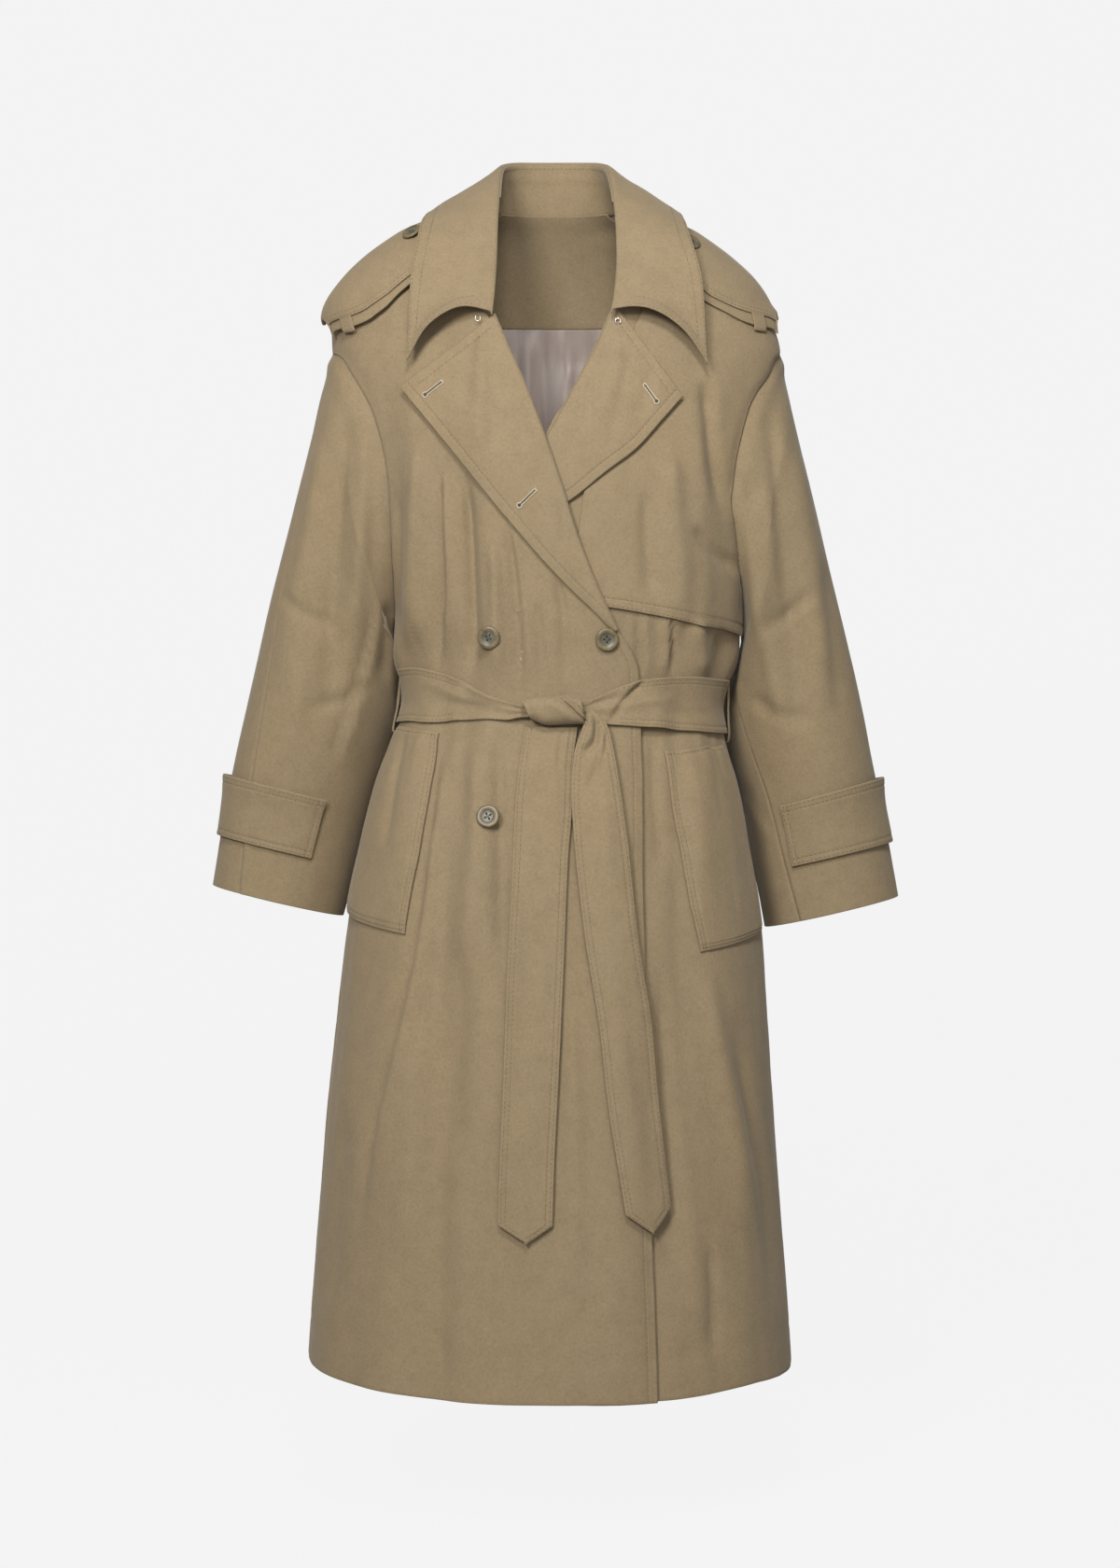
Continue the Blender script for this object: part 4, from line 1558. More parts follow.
# ---------------------------------------------------------------- pocket welts
def welt(name, inner, top_angle, foot_angle, slant, mouth):
    at, z, _ = on_front(*np.array(inner, float).T, 0.0)
    line = along(list(zip(at, z)))
    length = 0.21
    places = spaced([length], TURNED, TURNED, 40)[0] / length
    v = line(places)
    a, level = v[:, 0], v[:, 1]
    side_angle = (top_angle + (foot_angle - top_angle) * places)[:, None]
    dense = np.linspace(0, 1, 60)
    angles = side_angle + (a[:, None] - side_angle) * dense
    levels = level[:, None] + slant * (1 - dense)[None] * (0.35 + 0.65 * places)[:, None]
    run = runs(skin(angles, levels, 0.0, 0.0))
    want = spaced(run[:, -1], TURNED, TURNED, 26)
    s = np.array([np.interp(w_, r_, dense) for w_, r_ in zip(want, run)])
    angles = side_angle + (a[:, None] - side_angle) * s
    levels = level[:, None] + slant * (1 - s) * (0.35 + 0.65 * places)[:, None]
    far = run[:, -1:] - want
    end = np.minimum(places, 1 - places)[:, None] * length + 0 * s
    R = relief(angles, levels)
    out = R + WELT_OUT - 0.0008 + 0.0005 * lattice(levels / 0.05, s * 1.4, 91)
    out = out - 0.0014 * np.exp(-((end / 0.004) ** 2)) + 0.0006 * np.exp(-((far / 0.008) ** 2)) * (1 - np.exp(-((end / 0.03) ** 2)))
    out = out + groove(far - 0.0064, 0.0007, 0.0008)
    start, foot = places[:, None] * length + 0 * s, (1 - places)[:, None] * length + 0 * s
    out = out + groove(foot - 0.0064, 0.0008, 0.0009)
    for top, fall in mouth:
        out = out + groove(start + fall * far - top, 0.0010, 0.0010)
    pts = skin(angles, levels, out)
    dress(shell(name, pts, 0.0028, None, (1, 1, 1, 1)), CLOTH_B, [name])
    for depth in (0.0018, 0.0064):
        line_, ways = inset(pts, None, depth, "right")
        stitch("stitches_body", line_[2:-2], ways[2:-2])
    line_, ways = inset(pts, None, 0.0030, "last")
    stitch("stitches_body", line_[3:-3], ways[3:-3])
    line_, ways = inset(pts, None, 0.0030, "first")
    stitch("stitches_body", line_[3:-3], ways[3:-3])
    return pts


welt("pocket_welt_right", WELT_RIGHT, -math.pi + 0.27, -math.pi + 0.12, 0.018, [(0.0064, 0.0)])
welt("pocket_welt_left", WELT_LEFT, -0.33, -0.25, 0.016, [(0.0064, 0.10)])

# ---------------------------------------------------------------- belt
BELT_CREASES = [
    ("step", 7, -3.0, [(500, 733), (520, 741), (540, 751), (566, 760)]),
    ("soft", 7, 1.4, [(450, 728), (480, 740), (515, 752), (552, 761)]),
    ("soft", 6, -1.3, [(470, 752), (505, 757), (545, 763)]),
    ("step", 9, -3.4, [(690, 724), (676, 736), (662, 754), (654, 768), (645, 782)]),
    ("soft", 4, -2.0, [(626, 751), (637, 762), (648, 776)]),
    ("soft", 6, -1.6, [(628, 756), (650, 753), (672, 742)]),
    ("soft", 6, 1.2, [(636, 762), (660, 760), (690, 753), (730, 748)]),
    ("soft", 7, -1.0, [(700, 764), (730, 766), (768, 764)]),
]


def belt_out(x, z):
    knot = np.exp(-(((x + 0.0015) / 0.042) ** 4))
    return over_fronts(x, z) + BELT_OUT + 0.0058 * knot


def belt_stations():
    found = []
    for table in (BELT_RIGHT, BELT_LEFT):
        u, top, bottom = np.array(table, float).T
        at, z1, _ = on_front(u, top, belt_out)
        _, z0, _ = on_front(u, bottom, belt_out)
        found.append(list(zip(at, z1, z0)))
    right, left = found
    sides = [(-math.pi - 0.0, -0.4725, -0.5255), (-math.pi - 0.5, -0.4745, -0.5275), (-1.5 * math.pi, -0.4765, -0.5295),
             (-2 * math.pi + 0.5, -0.4800, -0.5330), (-2 * math.pi, -0.4830, -0.5360)]
    left = [(a - 2 * math.pi, t_, b) for a, t_, b in left][::-1]
    return right + sides + left


belt = Track([(-a, t_, b) for a, t_, b in belt_stations()])
dense = np.linspace(belt.t[0], belt.t[-1], 1400)
mid = belt(dense).mean(1)
p = skin(-dense, mid, belt_out, 0.0)
run = np.concatenate([[0], np.cumsum(np.linalg.norm(np.diff(p, axis=0), axis=1))])
places = np.interp(np.linspace(0, run[-1], 290), run, dense)
v = belt(places)
top, bottom = v[:, 0][:, None], v[:, 1][:, None]
high = (top - bottom)[:, 0]
across = spaced(high, TURNED, TURNED, 14) / high[:, None]
level = top + (bottom - top) * across
angle = -places[:, None] + 0 * level
edge = np.minimum(across, 1 - across) * high[:, None]
p = skin(angle, level, 0.0, 0.0)
u, w = drafted(p)
full = smooth(0.030, 0.048, high)[:, None]
front_ = smooth(0.1, 0.4, -p[..., 1] * 8)
runlen = np.interp(places, dense, run)[:, None] + 0 * level
wave = creased(BELT_CREASES, u, w) * (p[..., 1] < 0)
wave = wave + 0.0009 * lattice(runlen / 0.055, across * 1.3, 101) + 0.0005 * lattice(runlen / 0.018, across * 2.2, 102)
near_knot = np.exp(-((p[..., 0] + 0.0015) / 0.060) ** 2) * (p[..., 1] < 0)
wave = wave + near_knot * (0.0010 * np.cos(across * 4 * math.pi) - 0.0006)
extra = relief(angle, level) * 0.5 + wave - 0.0006
extra = extra + groove(edge - 0.0060, 0.0005, 0.0008) * full + 0.0010 * np.exp(-((edge / 0.003) ** 2)) * (1 - full) * 0
base_out = belt_out(p[..., 0], p[..., 2])
band = skin(angle, level, base_out + extra)
dress(shell("belt_band", band, DOUBLE - 0.0002, None, (1, 1, 1, 1)), CLOTH_B, ["belt_band"])
for depth in (0.0018, 0.0060):
    for side in ("left", "right"):
        line, ways = inset(band, None, depth, side)
        keep = high > 0.040
        keep[:3] = keep[-3:] = False
        for block in np.split(np.arange(len(keep)), np.where(np.diff(keep.astype(int)) != 0)[0] + 1):
            if keep[block[0]] and len(block) > 4:
                stitch("stitches_belt", line[block], ways[block])

for name, a0, top_, bottom_, proud in (("belt_loop_right", -math.pi + 0.02, -0.462, -0.536, 0.0086), ("belt_loop_left", -0.02, -0.470, -0.546, 0.0095)):
    s = np.concatenate([np.linspace(0, 0.2, 16)[:-1], np.linspace(0.2, 0.8, 18)[:-1], np.linspace(0.8, 1, 16)])[:, None]
    across_ = np.linspace(-0.0060, 0.0060, 15)[None]
    level = top_ + (bottom_ - top_) * s + 0 * across_
    out = 0.0026 + (proud - 0.0026) * np.sin(math.pi * np.clip(s, 0, 1)) ** 0.55 + 0 * across_
    out = out + 0.0004 * np.cos(across_ / 0.0060 * math.pi) + 0.0003 * lattice(level / 0.012, across_ / 0.01, 103)
    pts = skin(a0 + across_ / 0.13 + 0 * s, level, out)
    dress(shell(name, pts, 0.0017, None, (1, 1, 1, 1)), CLOTH_B, [name])

# the turn of the belt round itself, with its oblique folds
_, _, centre = on_front(*KNOT, lambda x, zz: overlap(x, zz) + 0.0020 + KNOT_DEPTH / 2)
s = np.linspace(0, 1, 60)[:, None]
k = 2 * math.pi * np.arange(110)[None] / 110
fore = np.where(np.sin(k) > 0, 1.0, 0.0)
grow = (1 - 0.10 * (2 * s - 1) ** 2) * (1 - 0.30 * np.exp(-((s / 0.16) ** 2)))
wide = KNOT_WIDTH + 0.004
x = (s - 0.5) * wide - 0.0048 * np.cos(k) * np.exp(-((s / 0.45) ** 2)) - 0.0022 * np.cos(k) * s
yy = -0.5 * KNOT_DEPTH * np.sin(k) * np.where(fore > 0, grow, 1.0)
zz = 0.5 * KNOT_HEIGHT * np.sign(np.cos(k)) * np.abs(np.cos(k)) ** 0.86 * grow
slantwise = (x - 0.010) * 0.8 + zz * 0.95
folds_ = (0.0012 * np.exp(-((slantwise + 0.004) / 0.0050) ** 2) - 0.0026 * np.exp(-((slantwise - 0.0058) / 0.0017) ** 2)
          + 0.0016 * np.exp(-((slantwise - 0.0092) / 0.0022) ** 2) - 0.0022 * np.exp(-((slantwise - 0.0128) / 0.0016) ** 2)
          + 0.0005 * lattice(x / 0.010, zz / 0.006, 111))
yy = yy - folds_ * smooth(0.1, 0.6, np.sin(k))
zz = zz + 0.0012 * np.sin(3.0 * x / 0.025) * np.where(np.cos(k) > 0, 0.7, 0.4)
knot_points = centre + np.stack([x, yy + 0 * x, zz + 0 * x], -1)
dress(shell("belt_knot", knot_points, DOUBLE - 0.0003, None, (1, 1, 1, 1), wrap=True), CLOTH_B, ["belt_knot"])


TAIL_CREASES = {
    "belt_tail_a": [
        ("soft", 7, -1.8, [(572, 776), (574, 820), (572, 880)]),
        ("soft", 8, 1.6, [(592, 776), (594, 850), (590, 960)]),
        ("step", 7, 1.6, [(606, 776), (603, 800), (600, 830)]),
        ("soft", 12, -1.3, [(566, 940), (562, 1060), (556, 1200)]),
        ("soft", 11, 1.2, [(584, 1000), (580, 1120), (572, 1260)]),
    ],
    "belt_tail_b": [
        ("soft", 4, -4.6, [(637, 766), (639, 780), (638, 793), (630, 803), (620, 809)]),
        ("soft", 5, 2.6, [(630, 760), (634, 776), (631, 790), (620, 802)]),
        ("soft", 5, -2.4, [(643, 800), (640, 820), (634, 838), (632, 850)]),
        ("step", 6, -2.0, [(650, 778), (646, 806), (640, 830)]),
        ("soft", 10, 1.8, [(646, 830), (650, 900), (658, 990)]),
        ("soft", 9, -1.3, [(628, 880), (638, 960), (648, 1040)]),
        ("soft", 12, -1.1, [(672, 1040), (682, 1140), (694, 1240)]),
        ("soft", 11, 1.2, [(664, 1080), (676, 1180), (688, 1280)]),
    ],
}


def tail(name, table, tip, seed):
    t = Track([(k_, *row) for k_, row in enumerate(table)])
    dense_k = np.linspace(0, len(table) - 1, 400)
    v_ = t(dense_k)
    run_ = np.concatenate([[0], np.cumsum(np.hypot(np.diff(v_[:, 0] + v_[:, 2]), np.diff(v_[:, 1] + v_[:, 3])) / 2)]) / SHEET
    want = np.linspace(0, run_[-1], 150)
    ks = np.interp(want, run_, dense_k)
    v_ = t(ks)
    lu, lw, ru, rw, out = (v_[:, i] for i in range(5))
    # the point: rows drawn in towards the tip
    tlu, tlw, tru, trw, tout = table[-1]
    shares = np.concatenate([np.linspace(0, 0.86, 14)[1:], [0.90, 0.93, 0.955, 0.975]])
    glu, grv = tip[0] + (tlu - tip[0]) * (1 - shares), tip[0] + (tru - tip[0]) * (1 - shares)
    glw, grw = tip[1] + (tlw - tip[1]) * (1 - shares), tip[1] + (trw - tip[1]) * (1 - shares)
    lu, lw = np.concatenate([lu, glu]), np.concatenate([lw, glw])
    ru, rw = np.concatenate([ru, grv]), np.concatenate([rw, grw])
    out = np.concatenate([out, np.full(len(shares), tout)])
    wide_ = np.hypot(ru - lu, rw - lw) / SHEET
    places_ = spaced(wide_, TURNED, TURNED, 14)
    s_ = places_ / wide_[:, None]
    u_, w_ = lu[:, None] + (ru - lu)[:, None] * s_, lw[:, None] + (rw - lw)[:, None] * s_
    at_, z_, _ = on_front(u_, w_, lambda x_, q: over_fronts(x_, q) + out[:, None] / 1000)
    length = np.concatenate([[0], np.cumsum(np.hypot(np.diff((lu + ru) / 2), np.diff((lw + rw) / 2)))])[:, None] / SHEET + 0 * s_
    to_tip = length[-1:] - length
    edge_ = np.minimum(places_, wide_[:, None] - places_)
    slant_edge = np.where(to_tip < 0.022, np.minimum(edge_, edge_), edge_)
    p_ = skin(at_, z_, 0.0, 0.0)
    over = creased(TAIL_CREASES[name], u_, w_)
    curl = 0.0010 * np.exp(-((edge_ / 0.007) ** 2)) * lattice(length / 0.10, s_ * 0 + (s_ > 0.5), seed) + 0.0008 * np.sin(math.pi * s_)
    wave = 0.0011 * lattice(length / 0.11, s_ * 0.8, seed + 1) + 0.0004 * lattice(length / 0.04, s_ * 2, seed + 2)
    dips = groove(slant_edge - 0.0064, 0.0005, 0.0008)
    reach = over_fronts(p_[..., 0], p_[..., 2]) + out[:, None] / 1000 + relief(at_, z_) * 0.45 + over + (curl + wave) * smooth(0.0, 0.04, length) + dips - 0.0012
    pts = skin(at_, z_, reach)
    dress(shell(name, pts, DOUBLE - 0.0002, (0, -1, 0), (1, 1, 1, 1)), CLOTH_B, [name])
    for depth in (0.0018, 0.0064):
        for side in ("left", "right"):
            line_, ways = inset(pts, (0, -1, 0), depth, side)
            good = wide_ > 2 * depth + 0.004
            stitch("stitches_belt", line_[good], ways[good])
    return pts


TAIL_A_POINTS = tail("belt_tail_a", TAIL_A, TAIL_A_TIP, 121)
TAIL_B_POINTS = tail("belt_tail_b", TAIL_B, TAIL_B_TIP, 131)

# ---------------------------------------------------------------- buttons
def button(name, centre, way, diameter=BUTTON_D, thick=BUTTON_T, seed=1.0, turn=0.4):
    """A turned horn button: raised rim, dished middle, four drilled holes and the crossed thread."""
    r = diameter / 2
    profile = [(0.0, 0.60), (0.30, 0.60), (0.44, 0.615), (0.50, 0.66), (0.56, 0.76), (0.63, 0.90), (0.70, 0.985), (0.78, 1.0),
               (0.86, 0.985), (0.93, 0.92), (0.975, 0.80), (1.0, 0.60), (1.0, 0.42), (0.97, 0.24), (0.90, 0.08), (0.80, 0.0), (0.5, 0.0), (0.0, 0.0)]
    steps = 64
    points, faces = [], []
    for i, (x, z) in enumerate(profile):
        if i in (0, len(profile) - 1):
            points.append((0, 0, z * thick))
            continue
        for k in range(steps):
            a = 2 * math.pi * k / steps
            points.append((x * r * math.cos(a), x * r * math.sin(a), z * thick))
    start_of = lambda i: 1 + (i - 1) * steps
    last = len(points) - 1
    for k in range(steps):
        j = (k + 1) % steps
        faces.append((0, start_of(1) + k, start_of(1) + j))
        for i in range(1, len(profile) - 2):
            faces.append((start_of(i) + k, start_of(i + 1) + k, start_of(i + 1) + j, start_of(i) + j))
        faces.append((start_of(len(profile) - 2) + k, last, start_of(len(profile) - 2) + j))
    mesh = bpy.data.meshes.new(name)
    mesh.from_pydata(points, [], faces)
    kinds = [1 if sum(points[v][0] ** 2 + points[v][1] ** 2 for v in f) / len(f) < (0.60 * r) ** 2 and sum(points[v][2] for v in f) / len(f) > 0.3 * thick else 0 for f in faces]
    mesh.polygons.foreach_set("material_index", kinds)
    ob = bpy.data.objects.new(name, mesh)
    bpy.context.scene.collection.objects.link(ob)
    pitch = 0.0019 * diameter / BUTTON_D
    drill_points, drill_faces = [], []
    for hx, hy in ((1, 1), (-1, 1), (-1, -1), (1, -1)):
        base = len(drill_points)
        for z in (-0.001, thick + 0.001):
            for k in range(16):
                a = 2 * math.pi * k / 16
                drill_points.append((hx * pitch + 0.00095 * math.cos(a), hy * pitch + 0.00095 * math.sin(a), z))
        drill_faces.append([base + k for k in range(15, -1, -1)])
        drill_faces.append([base + 16 + k for k in range(16)])
        for k in range(16):
            j = (k + 1) % 16
            drill_faces.append((base + k, base + j, base + 16 + j, base + 16 + k))
    drill_mesh = bpy.data.meshes.new(name + "_drill")
    drill_mesh.from_pydata(drill_points, [], drill_faces)
    drill = bpy.data.objects.new(name + "_drill", drill_mesh)
    bpy.context.scene.collection.objects.link(drill)
    cut = ob.modifiers.new("holes", "BOOLEAN")
    cut.operation, cut.solver, cut.object = "DIFFERENCE", "EXACT", drill
    bpy.context.view_layer.update()
    done = bpy.data.meshes.new_from_object(ob.evaluated_get(bpy.context.evaluated_depsgraph_get()))
    ob.modifiers.clear()
    bpy.data.objects.remove(drill, do_unlink=True)
    basis = Vector(way).to_track_quat("Z", "Y").to_matrix().to_4x4()
    spin = basis @ Matrix.Rotation(turn, 4, "Z")
    spin.translation = Vector(centre)
    done.transform(spin)
    done.polygons.foreach_set("use_smooth", [True] * len(done.polygons))
    ob.data = done
    ob.data.name = name
    ob.data.update()
    low_, high_ = 0.62 * thick, 0.58 * thick
    back_ = np.array(spin)[:3, :3].T
    flat_ = (np.array([v.co[:] for v in done.vertices]) - np.array(centre)) @ back_.T
    kinds = []
    for poly in done.polygons:
        c = flat_[list(poly.vertices)].mean(0)
        reach_ = math.hypot(c[0], c[1])
        hole = min(math.hypot(c[0] - hx * pitch, c[1] - hy * pitch) for hx, hy in ((1, 1), (-1, 1), (-1, -1), (1, -1))) < 0.00110 and abs((np.array(poly.normal) @ np.array(way))) < 0.5
        kinds.append(2 if hole else 1 if reach_ < 0.58 * r and c[2] > 0.3 * thick else 0)
    done.polygons.foreach_set("material_index", kinds)
    dress(ob, horn(name + "_horn", seed), [name])
    ob.data.materials.append(horn(name + "_dish", seed + 5, HORN_GREY))
    ob.data.materials.append(DARK)
    # thread: two bars across the holes, sunk into them
    bars = []
    m = np.array(spin)
    for a, b in (((1, 1), (-1, -1)), ((-1, 1), (1, -1))):
        s = np.linspace(-1, 1, 15)
        x = (a[0] - b[0]) / 2 * s * pitch * 1.02
        y = (a[1] - b[1]) / 2 * s * pitch * 1.02
        lift = 0.60 * thick + 0.00045 * (1 - np.abs(s) ** 6) + (0.00035 if a == (-1, 1) else 0.0) * (1 - s * s) - 0.0011 * (np.abs(s) > 0.98)
        pts = np.stack([x, y, lift, np.ones(15)], -1) @ m.T
        bars.append(pts[:, :3])
    tubes(name + "_thread", bars, 0.00026, THREAD)
    return ob


def tubes(name, lines, radius, material, sides=8, nodes=()):
    """Closed round tubes along lines of points."""
    verts, faces, base = [], [], 0
    for line in lines:
        line = np.asarray(line, float)
        way = np.gradient(line, axis=0)
        way /= np.maximum(np.linalg.norm(way, axis=1, keepdims=True), 1e-12)
        ref = np.array([0.0, 0.0, 1.0]) if abs(way[:, 2]).mean() < 0.8 else np.array([1.0, 0.0, 0.0])
        side = np.cross(way, ref)
        side /= np.linalg.norm(side, axis=1, keepdims=True)
        up = np.cross(side, way)
        count = len(line)
        a = 2 * math.pi * np.arange(sides) / sides
        grow = np.ones(count)
        grow[0] = grow[-1] = 0.6
        ring_ = line[:, None] + radius * grow[:, None, None] * (side[:, None] * np.cos(a)[None, :, None] + up[:, None] * np.sin(a)[None, :, None])
        verts.append(ring_.reshape(-1, 3))
        for i in range(count - 1):
            for k in range(sides):
                j = (k + 1) % sides
                faces.append((base + i * sides + k, base + i * sides + j, base + (i + 1) * sides + j, base + (i + 1) * sides + k))
        faces.append([base + k for k in range(sides)][::-1])
        faces.append([base + (count - 1) * sides + k for k in range(sides)])
        base += count * sides
    ob = build(name, np.concatenate(verts), faces)
    dress(ob, material, list(nodes))
    return ob


for k, (u, w) in enumerate(FRONT_BUTTONS):
    at, z, _ = on_front(u, w, overlap)
    R = float(relief(at, z))
    seat = lambda x, q: overlap(x, q) + 0.0012 + R
    p, side, down = (on_front(u + du, w + dw, seat)[2] for du, dw in ((0, 0), (8, 0), (0, 8)))
    way = np.cross(side - p, down - p)
    way = way / np.linalg.norm(way)
    way = way if way[1] < 0 else -way
    button(f"button_front_{k + 1}", p + way * 0.0004, way, seed=1.3 + 2.7 * k, turn=0.3 + 0.5 * k)
for side, sign, x, y in (("right", -1, 0.132, -0.034), ("left", 1, 0.139, -0.041)):
    p = on_top(sign * x, y, EPAULETTE_OUT + 0.0010)
    way = outward(*on_top(sign * x, y))
    button(f"epaulette_button_{side}", p, way, diameter=0.020, thick=0.0030, seed=7.0 + sign, turn=0.7)


# ---------------------------------------------------------------- keyhole buttonholes
def buttonhole(name, eye, end, surface):
    """Purl stitching round a slit with a round eye, lying on the lapel."""
    e, t = np.array(eye, float), np.array(end, float)
    length = np.linalg.norm(t - e)
    way = (t - e) / length
    side = np.array([-way[1], way[0]])
    unit = SHEET * 1.035
    reach, half, round_ = length, 0.00135 * unit, 0.00250 * unit
    outline = []
    for a in np.linspace(math.radians(28), math.radians(332), 30):
        outline.append(e + round_ * (way * math.cos(a) + side * math.sin(a)))
    body = []
    for s in np.linspace(0.16, 1.0, 26):
        body.append(e + way * reach * s - side * half)
    for s in np.linspace(1.0, 0.16, 26):
        body.append(e + way * reach * s + side * half)
    outline = outline + body + outline[:1]
    ring_ = np.array(outline)
    pts = surface(ring_[:, 0], ring_[:, 1], 0.00035)
    # purl: short bars across the outline
    run_ = np.concatenate([[0], np.cumsum(np.linalg.norm(np.diff(pts, axis=0), axis=1))])
    n = surface(ring_[:, 0], ring_[:, 1], 0.00135) - pts
    n /= np.linalg.norm(n, axis=1, keepdims=True)
    s = np.arange(0, run_[-1], 0.00062)
    mid = np.stack([np.interp(s, run_, pts[:, c]) for c in range(3)], -1)
    nn = np.stack([np.interp(s, run_, n[:, c]) for c in range(3)], -1)
    tang = np.stack([np.interp(s + 0.0004, run_, pts[:, c]) - np.interp(s - 0.0004, run_, pts[:, c]) for c in range(3)], -1)
    tang /= np.maximum(np.linalg.norm(tang, axis=1, keepdims=True), 1e-9)
    cross = np.cross(nn, tang)
    bars = [np.array([m - c * 0.00078 - q * 0.0002, m - c * 0.0004 + q * 0.00016, m + c * 0.0004 + q * 0.00016, m + c * 0.00078 - q * 0.0002]) for m, c, q in zip(mid, cross, nn)]
    tubes(name + "_purl", bars, 0.00036, THREAD_PALE, sides=5)
    # the slit itself, a dark sliver with a round eye
    slit = []
    for a in np.linspace(math.radians(20), math.radians(340), 20):
        slit.append(e + 0.00175 * unit * (way * math.cos(a) + side * math.sin(a)))
    for s_ in np.linspace(0.14, 0.97, 12):
        slit.append(e + way * reach * s_ - side * 0.00072 * unit)
    for s_ in np.linspace(0.97, 0.14, 12):
        slit.append(e + way * reach * s_ + side * 0.00072 * unit)
    slit = np.array(slit)
    top_ = surface(slit[:, 0], slit[:, 1], 0.00034)
    low_ = surface(slit[:, 0], slit[:, 1], -0.0004)
    count = len(slit)
    faces = [list(range(count)), [count + k for k in range(count)][::-1]]
    for k in range(count):
        j = (k + 1) % count
        faces.append((k, count + k, count + j, j))
    ob = build(name + "_slit", np.concatenate([top_, low_]), faces)
    ob.data.polygons.foreach_set("use_smooth", [False] * len(faces))
    dress(ob, DARK, [])


def on_grid(points, look):
    """A surface function (u, w, out) that lies on a finished grid, by its nearest drafted point."""
    n, _ = grid_normals(points, look)
    gu, gw = drafted(points)
    facing_ = n[..., 1] < 0.2
    flat_u, flat_w = gu[facing_], gw[facing_]
    flat_p, flat_n = points[facing_], n[facing_]

    def surface(u, w, out):
        u, w = np.atleast_1d(u), np.atleast_1d(w)
        d = (flat_u[None] - u[:, None]) ** 2 + (flat_w[None] - w[:, None]) ** 2
        near = np.argpartition(d, 6, axis=1)[:, :6]
        weight = 1 / (np.take_along_axis(d, near, 1) + 0.05)
        weight /= weight.sum(1, keepdims=True)
        p = (flat_p[near] * weight[..., None]).sum(1)
        m = (flat_n[near] * weight[..., None]).sum(1)
        m /= np.linalg.norm(m, axis=1, keepdims=True)
        goal = place(u, w, p[:, 1])
        p = p + np.stack([goal[:, 0] - p[:, 0], 0 * p[:, 1], goal[:, 2] - p[:, 2]], -1)
        return p + m * out

    return surface


right_face, left_face = on_grid(LAPEL_R[:, 15:], None), on_grid(LAPEL_L[:, 15:], None)
buttonhole("buttonhole_1", (455.5, 423), (474, 408.5), right_face)
buttonhole("buttonhole_2", (556.5, 541.5), (574, 524.5), right_face)
buttonhole("buttonhole_3", (703.5, 430), (690, 411.5), left_face)


# ---------------------------------------------------------------- hook and eye at the notches
def bent(centre_, size, shape_, lean):
    a = math.radians(lean) + 2 * math.pi * np.linspace(0, 1, 40) * shape_
    return centre_ + np.stack([size * np.sin(a), -0.0006 * np.linspace(0, 1, 40), size * np.cos(a)], -1)


hook = bent(on_front(512, 342, overlap)[2] + np.array([0, -0.0070, 0]), 0.0026, 0.80, 40)
eye = bent(on_front(662, 345, 0.0)[2] + np.array([0, -0.0075, 0]), 0.0026, 0.84, 200)
tubes("collar_hook", [hook], 0.00055, STEEL, 10, ["collar_hook"])
tubes("collar_eye", [eye], 0.00055, STEEL, 10, ["collar_eye"])

# ---------------------------------------------------------------- stitches
for group in [g for g in list(THREADS) if not g.endswith(":count")]:
    dress(sew(group), THREAD, [])

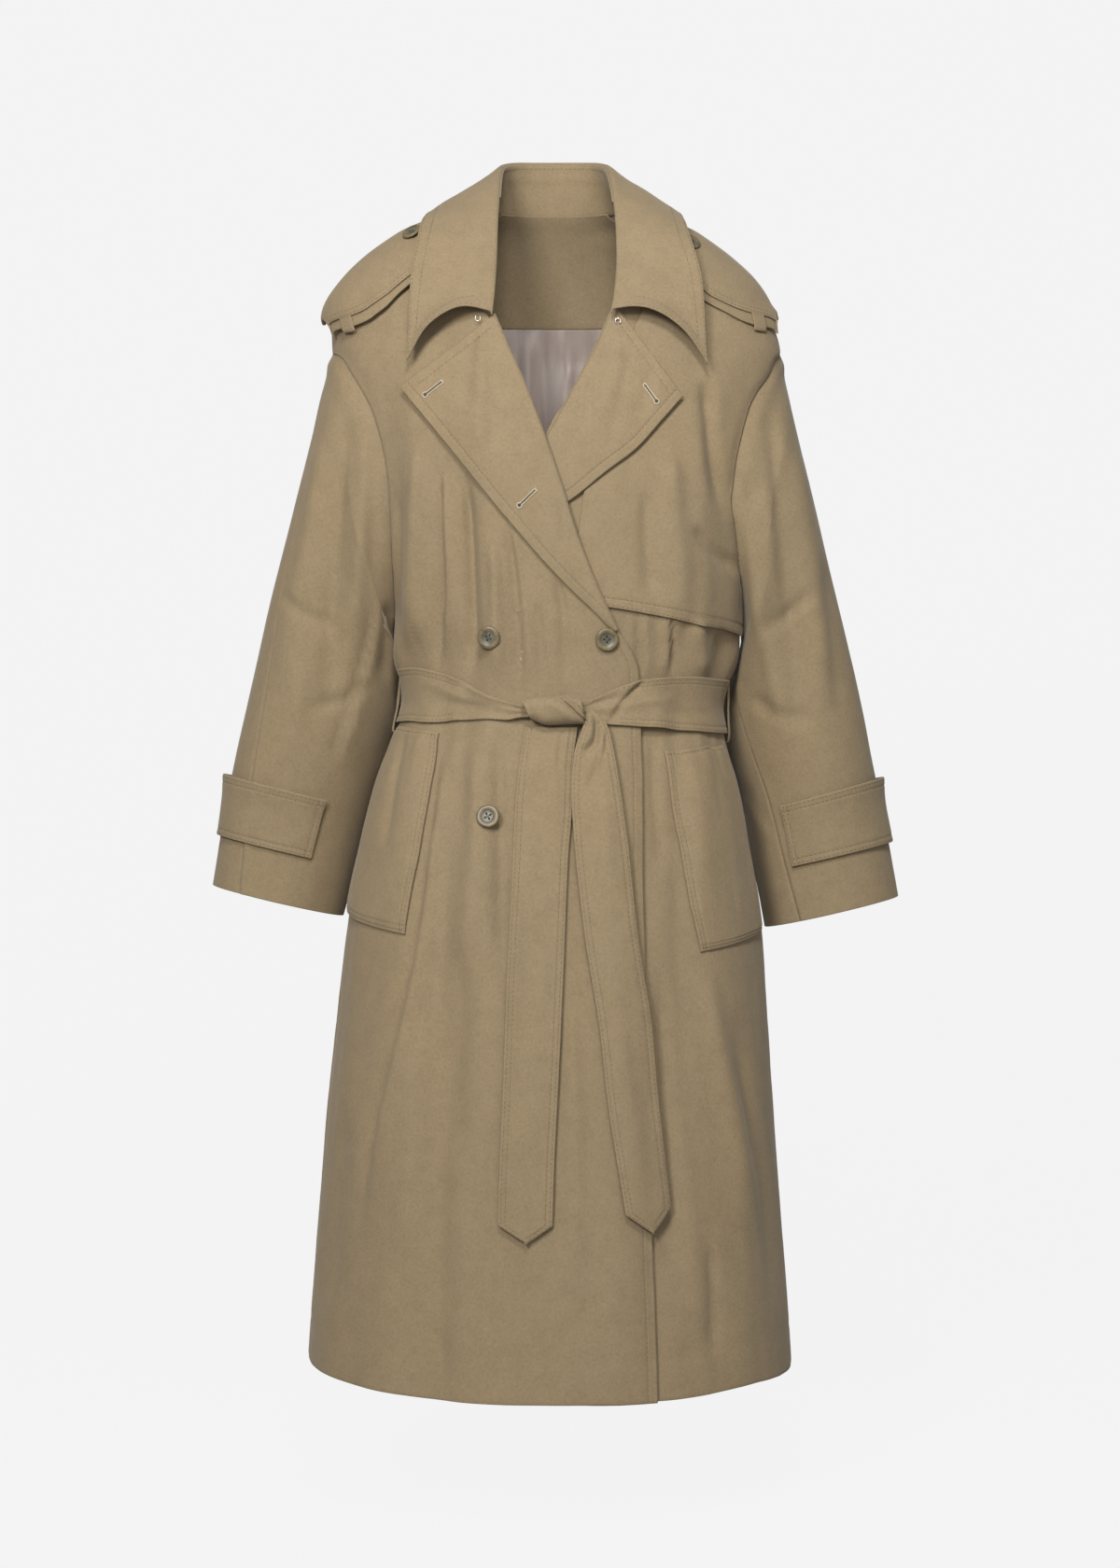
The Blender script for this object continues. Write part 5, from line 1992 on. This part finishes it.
# ---------------------------------------------------------------- what each sheet was cut to
# the rectangle that holds the cut of what shows (metres), its flat area (square metres), how it is held, and on what
CUTS = {
    "front_right": ((0.48, 1.19), 0.390, "hung", ["back", "front_left"]),
    "front_left": ((0.46, 1.19), 0.360, "hung", ["back"]),
    "back": ((0.70, 1.22), 0.660, "hung", ["collar_stand"]),
    "back_facing": ((0.30, 0.12), 0.030, "hung", ["collar_stand"]),
    "lining_back": ((0.36, 1.04), 0.350, "hung", ["back_facing"]),
    "lapel_right": ((0.13, 0.36), 0.027, "folded", ["front_right"]),
    "lapel_left": ((0.13, 0.24), 0.018, "folded", ["front_left"]),
    "gun_flap": ((0.22, 0.37), 0.062, "laid", ["front_left"]),
    "collar_fall": ((0.12, 0.62), 0.062, "folded", ["collar_stand"]),
    "collar_stand": ((0.036, 0.36), 0.012, "folded", ["back_facing"]),
    "epaulette_right": ((0.085, 0.30), 0.0235, "folded", ["front_right"]),
    "epaulette_left": ((0.085, 0.30), 0.0235, "folded", ["front_left"]),
    "epaulette_keeper_right": ((0.010, 0.036), 0.00035, "folded", ["epaulette_right"]),
    "epaulette_keeper_left": ((0.010, 0.036), 0.00035, "folded", ["epaulette_left"]),
    "sleeve_right_front": ((0.24, 0.56), 0.087, "hung", ["front_right"]),
    "sleeve_right_back": ((0.30, 0.56), 0.110, "hung", ["back"]),
    "sleeve_left_front": ((0.26, 0.56), 0.095, "hung", ["front_left"]),
    "sleeve_left_back": ((0.27, 0.56), 0.097, "hung", ["back"]),
    "cuff_strap_right": ((0.060, 0.31), 0.018, "stretched", ["sleeve_right_front"]),
    "cuff_strap_left": ((0.060, 0.31), 0.018, "stretched", ["sleeve_left_front"]),
    "pocket_welt_right": ((0.13, 0.21), 0.0240, "laid", ["front_right"]),
    "pocket_welt_left": ((0.13, 0.21), 0.0240, "laid", ["front_left"]),
    "belt_band": ((0.054, 0.98), 0.045, "stretched", ["front_right", "back"]),
    "belt_knot": ((0.054, 0.10), 0.0045, "folded", ["belt_band"]),
    "belt_tail_a": ((0.056, 0.55), 0.028, "hung", ["belt_knot"]),
    "belt_tail_b": ((0.056, 0.55), 0.027, "hung", ["belt_knot"]),
    "belt_loop_right": ((0.013, 0.095), 0.0012, "laid", ["belt_band"]),
    "belt_loop_left": ((0.013, 0.095), 0.0012, "laid", ["belt_band"]),
}
for piece in list(MADE):
    cut = CUTS.get(piece.name.split(".")[0])

# ---------------------------------------------------------------- sizes, then the frame's own checks
low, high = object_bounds()
